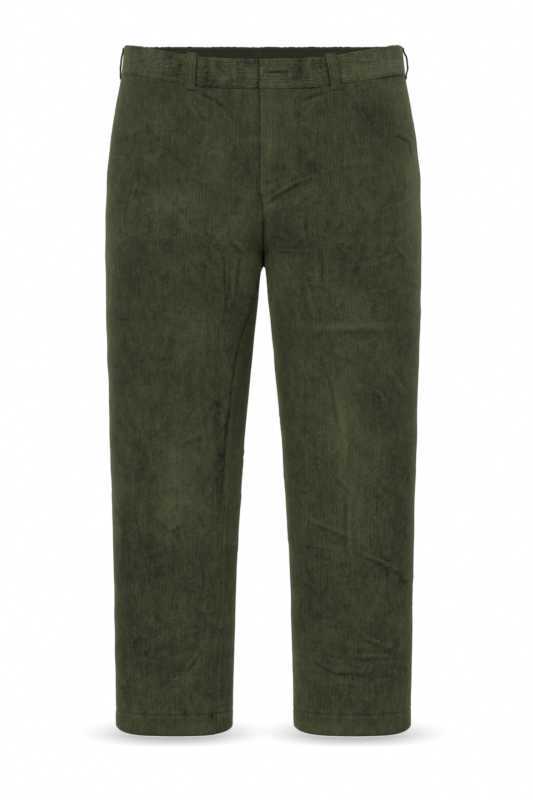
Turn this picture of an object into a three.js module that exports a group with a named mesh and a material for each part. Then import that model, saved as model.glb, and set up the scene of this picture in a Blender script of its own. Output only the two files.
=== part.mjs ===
import * as THREE from 'three';

// Corduroy trousers in the shape they have when worn, hollow, with no wearer. Sizes are in millimetres.
// +Z is up, the front faces -Y and +X is on the wearer's left. The origin is the middle of the waist,
// level with the band's top edge at the side seams.

// Driving sizes
const OUTSEAM = 994;
const BAND_HEIGHT = 42;
const DIP_FRONT = 24.5;
const RISE_BACK = 6;
const TOP_CURVE = { roundness: 2.6, front: 1.55, back: 0.6 };
const WAIST_DEPTH = 92;
const CROTCH = -281;
const FRONT_SCOOP = 112;
const BACK_SCOOP = 168;
const SCOOP_ROUNDNESS = 2.3;
const SQUARENESS = 2.2;
const CLOTH = 1.7;
const SEAM = 0.3;
const HEM_HEIGHT = 33;
const HEM_CLOTH = 3.3;
const BAND_CLOTH = 3;
const BAND_PROUD = 0.7;

// Fly and band lap: the wearer's left side lies over the right one, past the centre line.
const LAP = 3.6;
const FLY = { sinkBottom: -252, sinkTop: -230, lapBottom: -227, lapTop: -206, reach: 20, sink: CLOTH + 0.6 };
const ZIP = { edgeShare: 0.026, cloth: 1.3, under: CLOTH + 0.5 };
const SHIELD = { cloth: 1.6, under: FLY.sink + CLOTH + 0.3 };
const UNDERLAP = { length: 36, sink: BAND_CLOTH + 1.7, reach: 34 };
const HOOK = { from: 8, to: 21, low: 0.38, high: 0.62, thick: 1 };

// Side-seam pockets: the mouth gapes a little and shows the facing behind it.
const MOUTH = { top: -78, bottom: -226, gape: 3 };
const FACING = { beyond: 7, cloth: 1.4, under: CLOTH + SEAM };

// Belt loops: strips that bow off the band and are sewn at both ends. The front ones end above the band's
// top edge, and the others end below it.
const LOOP = { width: 13.5, cloth: 1.8, bow: 3.6, below: 5.5, above: { front: 3.2, side: -2.5, rear: -1 } };
const SIDE_LOOP_BOW = { left: 3.6, right: 1.4 };
const FRONT_LOOPS = {
  left: { top: 93, bottom: 98.5 },
  right: { top: 99.3, bottom: 98.3 },
};
const REAR_LOOP_SHARE = 0.5;

// How far the inseam of the wearer's right leg is turned to the front, along the cloth.
const INSEAM_ROLL = [
  { z: -1020, roll: 44 },
  { z: -800, roll: 44 },
  { z: -650, roll: 50 },
  { z: -520, roll: 57 },
  { z: -430, roll: 60 },
  { z: -365, roll: 48 },
  { z: -320, roll: 22 },
  { z: -296, roll: 5 },
  { z: CROTCH, roll: 0 },
  { z: 40, roll: 0 },
];

// Level sections of one side: outer edge and inner edge from the centre plane, and the depth in front of
// the side seam and behind it. Above the crotch the crotch seam takes the place of the inner edge.
const SECTIONS = [
  { z: 40, outer: 195, inner: 0, front: 89, back: 90 },
  { z: 0, outer: 198, inner: 0, front: WAIST_DEPTH, back: WAIST_DEPTH },
  { z: -42, outer: 202.5, inner: 0, front: 96, back: 97 },
  { z: -90, outer: 211.5, inner: 0, front: 101, back: 105 },
  { z: -145, outer: 219.5, inner: 0, front: 105, back: 114 },
  { z: -195, outer: 224.5, inner: 0, front: 107, back: 120 },
  { z: -245, outer: 226, inner: 0, front: 107, back: 120 },
  { z: CROTCH, outer: 226.3, inner: SEAM / 2, front: 106, back: 115 },
  { z: -300, outer: 226.3, inner: SEAM / 2, front: 104.6, back: 111.4 },
  { z: -307, outer: 226.3, inner: 2.1, front: 103.9, back: 110.1 },
  { z: -317, outer: 226.3, inner: 2.9, front: 103, back: 108 },
  { z: -363, outer: 226.4, inner: 7.6, front: 97, back: 98 },
  { z: -432, outer: 224.8, inner: 14.8, front: 87, back: 86 },
  { z: -502, outer: 222.9, inner: 21.4, front: 77, back: 75 },
  { z: -572, outer: 221.8, inner: 28, front: 68, back: 67 },
  { z: -666, outer: 219.5, inner: 33.8, front: 59, back: 61 },
  { z: -760, outer: 217.8, inner: 39.2, front: 54, back: 58 },
  { z: -854, outer: 216.3, inner: 42, front: 50, back: 55 },
  { z: -949, outer: 215.5, inner: 44.6, front: 47.5, back: 52 },
  { z: -1020, outer: 215.3, inner: 45.2, front: 46, back: 50 },
];

// Largest folds, from one end (x1, z1) to the other (x2, z2) as seen from the front or from the back.
// A ridge has a positive height and a trough a negative one. x is counted outwards from the centre.
const FOLDS = [
  { leg: 'left', face: 'front', x1: 4, z1: -232, x2: 58, z2: -196, width: 9, height: -4 },
  { leg: 'left', face: 'front', x1: 10, z1: -250, x2: 66, z2: -214, width: 12, height: 3 },
  { leg: 'left', face: 'front', x1: 82, z1: -404, x2: 196, z2: -408, width: 14, height: -3.5 },
  { leg: 'left', face: 'front', x1: 88, z1: -384, x2: 190, z2: -388, width: 12, height: 3 },
  { leg: 'left', face: 'front', x1: 118, z1: -455, x2: 122, z2: -640, width: 16, height: 3.5 },
  { leg: 'left', face: 'front', x1: 70, z1: -700, x2: 126, z2: -724, width: 12, height: -3 },
  { leg: 'left', face: 'front', x1: 134, z1: -738, x2: 194, z2: -778, width: 13, height: -3.5 },
  { leg: 'left', face: 'front', x1: 78, z1: -900, x2: 168, z2: -914, width: 12, height: -3.5 },
  { leg: 'right', face: 'front', x1: 26, z1: -252, x2: 54, z2: -352, width: 12, height: 3.5 },
  { leg: 'right', face: 'front', x1: 70, z1: -350, x2: 74, z2: -560, width: 11, height: -3 },
  { leg: 'right', face: 'front', x1: 100, z1: -575, x2: 142, z2: -560, width: 13, height: -3 },
  { leg: 'right', face: 'front', x1: 128, z1: -640, x2: 136, z2: -740, width: 24, height: 3 },
  { leg: 'right', face: 'front', x1: 86, z1: -862, x2: 150, z2: -946, width: 13, height: -4 },
  { leg: 'right', face: 'front', x1: 80, z1: -412, x2: 196, z2: -424, width: 16, height: -2.5 },
  { leg: 'left', face: 'back', x1: 16, z1: -262, x2: 120, z2: -300, width: 14, height: -5 },
  { leg: 'right', face: 'back', x1: 16, z1: -258, x2: 124, z2: -304, width: 14, height: -5 },
  { leg: 'left', face: 'back', x1: 60, z1: -336, x2: 170, z2: -350, width: 15, height: -4 },
  { leg: 'right', face: 'back', x1: 52, z1: -330, x2: 160, z2: -356, width: 15, height: -4 },
  { leg: 'left', face: 'back', x1: 74, z1: -610, x2: 184, z2: -588, width: 13, height: -4 },
  { leg: 'right', face: 'back', x1: 66, z1: -596, x2: 178, z2: -616, width: 13, height: -4 },
  { leg: 'left', face: 'back', x1: 86, z1: -664, x2: 176, z2: -684, width: 13, height: -3.5 },
  { leg: 'right', face: 'back', x1: 80, z1: -690, x2: 170, z2: -664, width: 13, height: -3.5 },
];
const FOLD_SEAM_EASE = 22;

// Heights of the mesh rows. They are closest at the crotch, where the seam turns under.
const ROW_STEP = 25;
const HEM_ROWS = [0, HEM_HEIGHT - 1, HEM_HEIGHT + 1.5];
const CROTCH_ROWS = [-34, -26, -19, -6, 0, 2, 6, 12, 21, 34, 50];
const PANEL_SHARES = [0, 0.07, 0.14, 0.24, 0.34, 0.44, 0.54, 0.63, 0.72, 0.8, 0.87, 0.93, 0.97, 1];
const BAND_STEP = 19;

const SIDE_SIGN = { left: 1, right: -1 };

const smooth = (from, to, value) => THREE.MathUtils.smoothstep(value, from, to);

// A column of a table at the height z, along a smooth curve that never swings past its rows.
function read(table, column, z) {
  const rows = table[0].z < table[1].z ? table : [...table].reverse();
  const last = rows.length - 1;
  const rise = (j) => (rows[j + 1][column] - rows[j][column]) / (rows[j + 1].z - rows[j].z);
  const slope = (j) => {
    if (j === 0 || j === last || rise(j - 1) * rise(j) <= 0) return 0;
    return (2 * rise(j - 1) * rise(j)) / (rise(j - 1) + rise(j));
  };
  let i = 0;
  while (i < last - 1 && rows[i + 1].z < z) i += 1;
  const span = rows[i + 1].z - rows[i].z;
  const u = THREE.MathUtils.clamp((z - rows[i].z) / span, 0, 1);
  const a = rows[i][column];
  const b = rows[i + 1][column];
  const start = slope(i) * span;
  const end = slope(i + 1) * span;
  return a + u * start + u * u * (3 * (b - a) - 2 * start - end) + u * u * u * (2 * (a - b) + start + end);
}

// Share of the full depth that the crotch seam has reached at the height z.
function seamShare(face, z) {
  const scoop = face === 'front' ? FRONT_SCOOP : BACK_SCOOP;
  const rest = THREE.MathUtils.clamp(1 - (z - CROTCH) / scoop, 0, 1);
  return Math.pow(1 - Math.pow(rest, SCOOP_ROUNDNESS), 1 / SCOOP_ROUNDNESS);
}

// Inner edge of the oval that a section is part of. Above the crotch it lies past the centre plane.
function innerEdge(face, z) {
  if (z <= CROTCH) return read(SECTIONS, 'inner', z);
  const reach = Math.pow(1 - Math.pow(seamShare(face, z), SQUARENESS), 1 / SQUARENESS);
  return (-read(SECTIONS, 'outer', z) * (1 - reach)) / (1 + reach);
}

// Half a section of the +X side, from its inner end to the side seam: half of a squarish oval, cut at
// the centre plane above the crotch. Its outer part follows the inner edge's mean over EASE above and
// below, so that the change at the crotch stays between the legs.
const ARC_STEPS = 90;
const EASE = 32;
const EASE_SAMPLES = 4;
function halfSection(face, z) {
  const outer = read(SECTIONS, 'outer', z);
  const depth = read(SECTIONS, face, z) * (face === 'front' ? -1 : 1);
  const inner = innerEdge(face, z);
  let mean = 0;
  for (let i = -EASE_SAMPLES; i <= EASE_SAMPLES; i += 1) {
    mean += innerEdge(face, z + (EASE * i) / EASE_SAMPLES) / (2 * EASE_SAMPLES + 1);
  }
  const middle = (outer + mean) / 2;
  const half = (outer - mean) / 2;
  const points = [];
  for (let i = 0; i <= ARC_STEPS; i += 1) {
    const angle = (Math.PI * i) / ARC_STEPS;
    const c = Math.cos(angle);
    const oval = middle - half * Math.sign(c) * Math.pow(Math.abs(c), 2 / SQUARENESS);
    const nearInner = (outer - oval) / (outer - mean);
    const x = oval + (inner - mean) * nearInner ** 3;
    const y = depth * Math.pow(Math.sin(angle), 2 / SQUARENESS);
    if (points.length === 1 && points[0][0] < 0 && x >= 0) {
      const u = -points[0][0] / (x - points[0][0]);
      points[0] = [0, points[0][1] + u * (y - points[0][1])];
    }
    if (x < 0) points[0] = [x, y];
    else points.push([x, y]);
  }
  return points;
}

// The whole section of the +X side with its running length: front inner end, side seam, back inner end.
const sectionCache = new Map();
function section(z) {
  const key = z.toFixed(3);
  if (sectionCache.has(key)) return sectionCache.get(key);
  const front = halfSection('front', z);
  const back = halfSection('back', z).reverse();
  const points = [...front, ...back.slice(1)];
  const lengths = [0];
  for (let i = 1; i < points.length; i += 1) {
    const dx = points[i][0] - points[i - 1][0];
    const dy = points[i][1] - points[i - 1][1];
    lengths.push(lengths[i - 1] + Math.hypot(dx, dy));
  }
  const result = { points, lengths, side: lengths[front.length - 1], total: lengths.at(-1) };
  sectionCache.set(key, result);
  return result;
}

// A point of the section at the running length s. Above the crotch the cloth goes on past the centre
// plane as its own mirror image, and below it the section closes at the inseam.
function onSection(z, s) {
  const { points, lengths, total } = section(z);
  let along = s;
  let mirror = 1;
  if (z > CROTCH && (s < 0 || s > total)) {
    along = s < 0 ? -s : 2 * total - s;
    mirror = -1;
  } else if (s < 0) along = s + total;
  else if (s > total) along = s - total;
  let low = 0;
  let high = lengths.length - 1;
  while (high - low > 1) {
    const middle = (low + high) >> 1;
    if (lengths[middle] <= along) low = middle;
    else high = middle;
  }
  const u = (along - lengths[low]) / (lengths[high] - lengths[low]);
  const x = points[low][0] + u * (points[high][0] - points[low][0]);
  const y = points[low][1] + u * (points[high][1] - points[low][1]);
  return [mirror * x, y];
}

// Height of all folds of one leg at a point of its cloth, eased out towards the seams.
function foldHeight(leg, z, s) {
  const { side, total } = section(z);
  const face = s < side ? 'front' : 'back';
  const [x] = onSection(z, s);
  let height = 0;
  for (const fold of FOLDS) {
    if (fold.leg !== leg || fold.face !== face) continue;
    const dx = fold.x2 - fold.x1;
    const dz = fold.z2 - fold.z1;
    const share = ((x - fold.x1) * dx + (z - fold.z1) * dz) / (dx * dx + dz * dz);
    const near = THREE.MathUtils.clamp(share, 0, 1);
    const away = Math.hypot(x - fold.x1 - near * dx, z - fold.z1 - near * dz);
    const taper = 0.35 + 0.65 * Math.sin(Math.PI * near);
    height += fold.height * taper * Math.exp(-((away / fold.width) ** 2));
  }
  const ease = smooth(0, FOLD_SEAM_EASE, Math.min(Math.abs(s), Math.abs(total - s), Math.abs(s - side)));
  return height * ease;
}

// A point of the finished cloth surface of one leg, moved out of it by the offset.
function surface(leg, z, s, offset = 0) {
  const share = s / section(z).total;
  const shape = (level, along) => {
    const [x, y] = onSection(level, along);
    return new THREE.Vector3(x, y, level);
  };
  const across = shape(z, s + 1).sub(shape(z, s - 1));
  const above = shape(z + 1, share * section(z + 1).total);
  const below = shape(z - 1, share * section(z - 1).total);
  const normal = across.cross(above.sub(below)).normalize();
  const point = shape(z, s).addScaledVector(normal, foldHeight(leg, z, s) + offset);
  if (z >= CROTCH && s >= 0 && s <= section(z).total) point.x = Math.max(point.x, SEAM / 2);
  point.x *= SIDE_SIGN[leg];
  return point;
}

// Height of the band's top edge over a point of the section at z: it dips in front and rises behind.
function bandTop([x, y], z) {
  const outward = Math.min(Math.abs(x) / read(SECTIONS, 'outer', z), 1);
  const inward = 1 - outward ** TOP_CURVE.roundness;
  return y < 0 ? -DIP_FRONT * inward ** TOP_CURVE.front : RISE_BACK * inward ** TOP_CURVE.back;
}
const bandBottom = (point, z) => bandTop(point, z) - BAND_HEIGHT;

// Distance along the waist from the centre front to the place x
function waistLength(x) {
  const { points, lengths } = section(-BAND_HEIGHT / 2);
  const i = points.findIndex((point) => point[0] >= x);
  const u = (x - points[i - 1][0]) / (points[i][0] - points[i - 1][0]);
  return lengths[i - 1] + u * (lengths[i] - lengths[i - 1]);
}

// A closed wall between two grids of points that have the same rows and columns.
function wall(outside, inside) {
  const rows = outside.length;
  const columns = outside[0].length;
  const positions = [];
  for (const grid of [outside, inside]) {
    for (const row of grid) for (const p of row) positions.push(p.x, p.y, p.z);
  }
  const at = (layer, row, column) => (layer * rows + row) * columns + column;
  const index = [];
  const quad = (a, b, c, d) => index.push(a, b, c, a, c, d);
  for (let r = 0; r < rows - 1; r += 1) {
    for (let c = 0; c < columns - 1; c += 1) {
      quad(at(0, r, c), at(0, r, c + 1), at(0, r + 1, c + 1), at(0, r + 1, c));
      quad(at(1, r, c), at(1, r + 1, c), at(1, r + 1, c + 1), at(1, r, c + 1));
    }
    const last = columns - 1;
    quad(at(0, r, 0), at(0, r + 1, 0), at(1, r + 1, 0), at(1, r, 0));
    quad(at(0, r, last), at(1, r, last), at(1, r + 1, last), at(0, r + 1, last));
  }
  for (let c = 0; c < columns - 1; c += 1) {
    const top = rows - 1;
    quad(at(0, 0, c), at(1, 0, c), at(1, 0, c + 1), at(0, 0, c + 1));
    quad(at(0, top, c), at(0, top, c + 1), at(1, top, c + 1), at(1, top, c));
  }
  const geometry = new THREE.BufferGeometry();
  geometry.setAttribute('position', new THREE.Float32BufferAttribute(positions, 3));
  geometry.setIndex(index);
  if (volume(geometry) < 0) {
    const turned = [];
    for (let i = 0; i < index.length; i += 3) turned.push(index[i], index[i + 2], index[i + 1]);
    geometry.setIndex(turned);
  }
  geometry.computeVertexNormals();
  return geometry;
}

function volume(geometry) {
  const position = geometry.getAttribute('position');
  const corner = (i) => new THREE.Vector3().fromBufferAttribute(position, geometry.index.getX(i));
  let sum = 0;
  for (let i = 0; i < geometry.index.count; i += 3) {
    sum += corner(i).dot(corner(i + 1).cross(corner(i + 2)));
  }
  return sum / 6;
}

const evenly = (count) => Array.from({ length: count + 1 }, (unused, i) => i / count);

const CORDUROY = { color: 0x3b3e2d, roughness: 0.95, metalness: 0 };
const INSIDE_CLOTH = { color: 0x34372a, roughness: 0.95, metalness: 0 };
const TAPE = { color: 0x2c2e24, roughness: 0.8, metalness: 0 };
const STEEL = { color: 0x8a8a86, roughness: 0.35, metalness: 1 };

const trousers = new THREE.Group();
function add(name, geometry, look) {
  const mesh = new THREE.Mesh(geometry, new THREE.MeshStandardMaterial(look));
  mesh.name = name;
  trousers.add(mesh);
}

// Heights of the rows of a leg panel at the side seam, from the hem to the waist seam
const LEVELS = HEM_ROWS.map((up) => up - OUTSEAM);
function climb(to) {
  const from = LEVELS.at(-1);
  const steps = Math.round((to - from) / ROW_STEP);
  for (let i = 1; i <= steps; i += 1) LEVELS.push(from + ((to - from) * i) / steps);
}
climb(CROTCH + CROTCH_ROWS[0]);
for (const up of CROTCH_ROWS.slice(1)) LEVELS.push(CROTCH + up);
const HIP_START = LEVELS.at(-1);
climb(-BAND_HEIGHT);

// How far the edge of the right front lies behind the fly lap, and how far the left front laps over it
const flySink = (z, s) => {
  const edge = 1 - smooth(FLY.reach * 0.3, FLY.reach, s);
  return FLY.sink * smooth(FLY.sinkBottom, FLY.sinkTop, z) * edge;
};
const flyLap = (z) => LAP * smooth(FLY.lapBottom, FLY.lapTop, z);
const mouthGape = (z) => {
  const share = THREE.MathUtils.clamp((z - MOUTH.bottom) / (MOUTH.top - MOUTH.bottom), 0, 1);
  return MOUTH.gape * Math.sin(Math.PI * share) ** 2;
};

// Running lengths between which a panel lies at the height z
function edges(leg, face, z) {
  const { side, total } = section(z);
  const roll = leg === 'right' ? read(INSEAM_ROLL, 'roll', z) : 0;
  if (face === 'front') {
    const lap = leg === 'left' ? flyLap(z) : 0;
    return { inner: roll + SEAM / 2 - lap, side: side - SEAM / 2 - mouthGape(z) };
  }
  return { inner: total + roll - SEAM / 2, side: side + SEAM / 2 };
}

// Running length of a column of a panel: 0 at the centre or the inseam, 1 at the side seam. Above the
// crotch the columns keep their distance from the side seam, and the ones at the centre draw together.
const GATHER = 4;
const GATHER_HEIGHT = 130;
function columnLength(leg, face, z, share) {
  const edge = edges(leg, face, z);
  const width = Math.abs(edge.side - edge.inner);
  const atCrotch = edges(leg, face, CROTCH);
  const full = z <= CROTCH ? width : THREE.MathUtils.lerp(Math.abs(atCrotch.side - atCrotch.inner), width,
    smooth(CROTCH, CROTCH + GATHER_HEIGHT, z));
  const fromSide = (1 - share) * full - (full - width) * (1 - share) ** GATHER;
  return edge.side + fromSide * Math.sign(edge.inner - edge.side);
}

// A point of a panel: a row, a column's share, and a depth below the panel's face. The upper rows follow
// the slope of the waist seam.
function panelPoint(leg, face, level, share, depth) {
  let z = level;
  if (level > HIP_START) {
    const rise = (level - HIP_START) / (-BAND_HEIGHT - HIP_START);
    const spot = onSection(level, columnLength(leg, face, level, share));
    z += rise * rise * (bandTop(spot, level) - SEAM);
  }
  const s = columnLength(leg, face, z, share);
  const sink = leg === 'right' && face === 'front' ? flySink(z, s) : 0;
  return surface(leg, z, s, -sink - depth);
}

// Leg panels, from the centre or the inseam to the side seam, with a turned hem
for (const leg of ['left', 'right']) {
  for (const face of ['front', 'back']) {
    const layer = (inside) => LEVELS.map((level) => {
      const thick = level < HEM_HEIGHT - OUTSEAM ? HEM_CLOTH : CLOTH;
      return PANEL_SHARES.map((share) => panelPoint(leg, face, level, share, inside ? thick : 0));
    });
    add(`${face}_${leg}`, wall(layer(false), layer(true)), CORDUROY);
  }
}

// The waistband follows the waist at this level. s is the running length there from the centre front.
const WAIST = section(-BAND_HEIGHT / 2);
const REAR_LOOP = WAIST.side + (WAIST.total - WAIST.side) * REAR_LOOP_SHARE;
const loopPlaces = (leg) => [
  waistLength((FRONT_LOOPS[leg].top + FRONT_LOOPS[leg].bottom) / 2), WAIST.side, REAR_LOOP, WAIST.total,
];

// A point of the band: up is a share of its height, and out is the distance from the cloth's surface.
function bandPoint(leg, up, s, out) {
  const level = -BAND_HEIGHT / 2;
  const z = bandBottom(onSection(level, s), level) + BAND_HEIGHT * up;
  return surface(leg, z, (s * section(z).total) / WAIST.total, out);
}

// Columns of the band: each loop's edges and middle, and even steps between them
function bandColumns(leg, from, to) {
  const marks = [from, to];
  for (const place of loopPlaces(leg)) {
    for (const edge of [-0.5, 0, 0.5]) marks.push(place + edge * LOOP.width);
  }
  marks.push(0, LAP, UNDERLAP.reach);
  const kept = marks.filter((s) => s >= from && s <= to).sort((a, b) => a - b);
  const columns = [kept[0]];
  for (const s of kept.slice(1)) {
    const last = columns.at(-1);
    const steps = Math.ceil((s - last) / BAND_STEP);
    for (let i = 1; i <= steps; i += 1) columns.push(last + ((s - last) * i) / steps);
  }
  return columns;
}

function bandStrip(leg, ups, columns, out, thick) {
  const layer = (depth) => ups.map((up) => columns.map((s) => bandPoint(leg, up, s, out(s) - depth)));
  return wall(layer(0), layer(thick));
}

const CENTRE_BACK = WAIST.total - SEAM / 2;
const bandSink = (s) => UNDERLAP.sink * (1 - smooth(LAP * 1.5, UNDERLAP.reach, s));
add('waistband_left', bandStrip('left', evenly(3), bandColumns('left', -LAP - 1, CENTRE_BACK),
  () => BAND_PROUD, BAND_CLOTH), CORDUROY);
add('waistband_right', bandStrip('right', evenly(3), bandColumns('right', -UNDERLAP.length, CENTRE_BACK),
  (s) => BAND_PROUD - bandSink(s), BAND_CLOTH), CORDUROY);

// Hook and bar, one plain plate between the lapped ends of the band
add('hook_and_bar', bandStrip('left', [HOOK.low, HOOK.high], [HOOK.from, HOOK.to],
  () => BAND_PROUD - BAND_CLOTH - SEAM, HOOK.thick), STEEL);

// A strip behind the panels, in their rows: each column is a place on one of the panels
function strip(levels, columns, under, thick) {
  const layer = (depth) => levels.map((level) => columns.map((place) => place(level, depth)));
  return wall(layer(under), layer(under + thick));
}
const onPanel = (leg, face, share, extra = 0) => (level, depth) => (
  panelPoint(leg, face, level, share, depth + extra)
);
const flyLevels = LEVELS.filter((level) => level > HIP_START);

add('zip', strip(flyLevels, [
  onPanel('left', 'front', ZIP.edgeShare),
  onPanel('left', 'front', PANEL_SHARES[1]),
], ZIP.under, ZIP.cloth), TAPE);

// The shield lies behind both fronts, so it is measured from the sunk edge on the right one
add('fly_shield', strip(flyLevels, [
  onPanel('right', 'front', PANEL_SHARES[1]),
  onPanel('right', 'front', 0, -FLY.sink),
  onPanel('left', 'front', PANEL_SHARES[1]),
  onPanel('left', 'front', PANEL_SHARES[2]),
], SHIELD.under, SHIELD.cloth), INSIDE_CLOTH);

// Pocket facings, from behind the front's edge across the side seam to behind the back's edge
const mouthLevels = LEVELS.filter((level) => (
  level > MOUTH.bottom - FACING.beyond && level < MOUTH.top + ROW_STEP
));
for (const leg of ['left', 'right']) {
  const columns = PANEL_SHARES.slice(-3).map((share) => onPanel(leg, 'front', share));
  for (const share of PANEL_SHARES.slice(-2).reverse()) columns.push(onPanel(leg, 'back', share));
  add(`pocket_facing_${leg}`, strip(mouthLevels, columns, FACING.under, FACING.cloth), CORDUROY);
}

// Belt loops, each made from points of the band moved out. The foot lies on the panel below the band.
function beltLoop(leg, sTop, sBottom, above, mostBow = LOOP.bow) {
  const length = LOOP.below + BAND_HEIGHT + above;
  const rises = [0, LOOP.below / length, 0.2, 0.33, 0.5, 0.67, 0.8, 0.93, 1];
  const layer = (depth) => rises.map((rise) => {
    const bow = mostBow * smooth(0.1, 0.36, rise) * (1 - smooth(0.64, 0.92, rise));
    const under = rise === 0 ? SEAM : BAND_PROUD + SEAM + bow;
    const up = (length * rise - LOOP.below) / BAND_HEIGHT;
    const middle = sBottom + (sTop - sBottom) * rise;
    return [-0.5, 0, 0.5].map((edge) => (
      bandPoint(leg, up, middle + edge * LOOP.width, under + LOOP.cloth - depth)
    ));
  });
  return wall(layer(0), layer(LOOP.cloth));
}
for (const leg of ['left', 'right']) {
  const { top, bottom } = FRONT_LOOPS[leg];
  const { front, side, rear } = LOOP.above;
  add(`belt_loop_front_${leg}`, beltLoop(leg, waistLength(top), waistLength(bottom), front), CORDUROY);
  add(`belt_loop_side_${leg}`, beltLoop(leg, WAIST.side, WAIST.side, side, SIDE_LOOP_BOW[leg]), CORDUROY);
  add(`belt_loop_back_${leg}`, beltLoop(leg, REAR_LOOP, REAR_LOOP, rear), CORDUROY);
}
add('belt_loop_centre_back', beltLoop('left', WAIST.total, WAIST.total, LOOP.above.rear), CORDUROY);

export default trousers;
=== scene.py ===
import math

import bpy
import numpy as np
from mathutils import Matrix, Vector


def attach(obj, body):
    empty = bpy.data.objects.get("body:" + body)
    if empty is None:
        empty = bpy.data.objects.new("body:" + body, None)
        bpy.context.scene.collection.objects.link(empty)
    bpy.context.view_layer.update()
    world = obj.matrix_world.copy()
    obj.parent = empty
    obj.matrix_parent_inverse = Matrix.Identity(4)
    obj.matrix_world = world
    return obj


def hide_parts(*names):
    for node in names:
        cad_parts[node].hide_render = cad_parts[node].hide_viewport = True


# Corduroy trousers, worn shape, empty. Sizes in the tables are millimetres, in the frame of the CAD part:
# +Z up, front towards -Y, +X on the wearer's left, origin in the middle of the waist.

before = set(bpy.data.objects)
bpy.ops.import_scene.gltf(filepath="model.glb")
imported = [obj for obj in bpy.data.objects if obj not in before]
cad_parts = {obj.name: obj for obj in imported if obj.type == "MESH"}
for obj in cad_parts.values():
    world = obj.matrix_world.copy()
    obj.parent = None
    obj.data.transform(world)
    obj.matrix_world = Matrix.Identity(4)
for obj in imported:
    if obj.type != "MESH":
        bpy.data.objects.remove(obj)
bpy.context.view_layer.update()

MM = 0.001
OUTSEAM, BAND_HEIGHT, DIP_FRONT, RISE_BACK = 994.0, 42.0, 24.5, 6.0
TOP_ROUNDNESS, TOP_FRONT, TOP_BACK = 2.6, 1.55, 0.6
CROTCH, FRONT_SCOOP, BACK_SCOOP, SCOOP_ROUNDNESS, SQUARENESS = -281.0, 112.0, 168.0, 2.3, 2.2
JOIN, PART = -293.0, -316.0
# For the dark wedge between the thighs each front stands off the middle by up to WEDGE, from WEDGE_TOP down.
# It starts above JOIN, so it also opens the last 14 mm of the front seam.
WEDGE, WEDGE_TOP, WEDGE_FULL = 2.1, -279.0, -302.0
CLOTH, SEAM, HEM_HEIGHT, HEM_CLOTH, BAND_CLOTH, BAND_PROUD = 1.7, 0.3, 33.0, 3.3, 3.0, 0.7
LAP = 3.6
FLY_SINK, FLY_REACH = CLOTH + 0.6, 20.0
MOUTH_TOP, MOUTH_BOTTOM, MOUTH_GAPE = -78.0, -226.0, 3.0
UNDERLAP, UNDERLAP_SINK, UNDERLAP_REACH = 36.0, BAND_CLOTH + 1.7, 34.0
LOOP_WIDTH, LOOP_CLOTH, LOOP_BOW, LOOP_BELOW = 13.5, 1.8, 3.6, 5.5
ABOVE_FRONT, ABOVE_SIDE, ABOVE_REAR = 3.2, -2.5, -1.0
SIDE_BOW = {"left": 3.6, "right": 1.4}
FRONT_LOOPS = {"left": (93.0, 98.5), "right": (99.3, 98.3)}
HIP_START = CROTCH + 50
SECTION_STEPS, NEAR_MEAN, WIDE_MEAN = 90, 12.0, 32.0
HEM_LIFT, HEM_CORNER_LIFT, HEM_LIFT_REACH = 0.8, 5.4, 30.0
SIDE = {"left": 1.0, "right": -1.0}

# Corduroy: ribs (wales) of this pitch and height stand on the outer face
WALE, WALE_HEIGHT = 3.2, 0.36
WALE_PROFILE = np.array([0.0, 1.0, 1.0])
GRAIN_X = 130.0
ROW_STEP = {"front": 3.05, "back": 4.0}
BAND_WALES, BAND_COLUMNS, LOOP_COLUMNS = 13, 330, 16

# Heights where wear creases the cloth most, each with its spread: crotch, thigh, knee, shin and hem
WORN_AT = ((-270, 60), (-350, 40), (-620, 90), (-740, 60), (-890, 45))

INSEAM_ROLL = [(-1020, 44), (-800, 44), (-650, 50), (-520, 57), (-430, 60), (-365, 48), (-320, 22),
               (-300, 3), (-293, 0), (40, 0)]
SECTIONS = [
    (-1020, 215.3, 45.2, 46, 50), (-949, 215.5, 44.6, 47.5, 52), (-854, 216.3, 42, 50, 55),
    (-760, 217.8, 39.2, 54, 58), (-666, 219.5, 33.8, 59, 61), (-572, 221.8, 28, 68, 67),
    (-502, 222.9, 21.4, 77, 75), (-432, 224.8, 14.8, 87, 86), (-363, 226.4, 7.6, 97, 98),
    (-317, 226.3, 2.9, 103, 108), (-313.5, 226.3, -1.2, 103.3, 108.7), (-300, 226.3, -1.5, 104.6, 111.4),
    (-292, 226.3, 0, 105, 113), (-281, 226.3, 0, 106, 115), (-245, 226, 0, 107, 120),
    (-195, 224.5, 0, 107, 120), (-145, 219.5, 0, 105, 114), (-90, 211.5, 0, 101, 105),
    (-42, 202.5, 0, 96, 97), (0, 198, 0, 92, 92), (40, 195, 0, 89, 90),
]

# Broad folds of each panel: x1, z1, x2, z2, width, height
FOLDS = {
    ("left", "front"): [
        (4, -232, 58, -196, 9, -4), (10, -250, 66, -214, 12, 3), (82, -404, 196, -408, 19, -1.7),
        (88, -384, 190, -388, 17, 1.5), (118, -455, 122, -640, 16, 3.5), (70, -700, 126, -724, 12, -3),
        (134, -738, 194, -778, 13, -3.5), (78, -900, 168, -914, 12, -3.5),
    ],
    ("left", "back"): [
        (16, -262, 120, -300, 20, -3.4), (60, -336, 170, -350, 22, -2.4), (74, -610, 184, -588, 18, -2.6),
        (86, -664, 176, -684, 18, -2.2),
    ],
    ("right", "front"): [
        (26, -252, 54, -352, 12, 3.5), (70, -350, 74, -560, 11, -3), (100, -575, 142, -560, 13, -3),
        (128, -640, 136, -740, 24, 3), (86, -862, 150, -946, 13, -4), (80, -412, 196, -424, 20, -1.5),
    ],
    ("right", "back"): [
        (16, -258, 124, -304, 20, -3.4), (52, -330, 160, -356, 22, -2.4), (66, -596, 178, -616, 18, -2.6),
        (80, -690, 170, -664, 18, -2.2),
    ],
}

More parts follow.
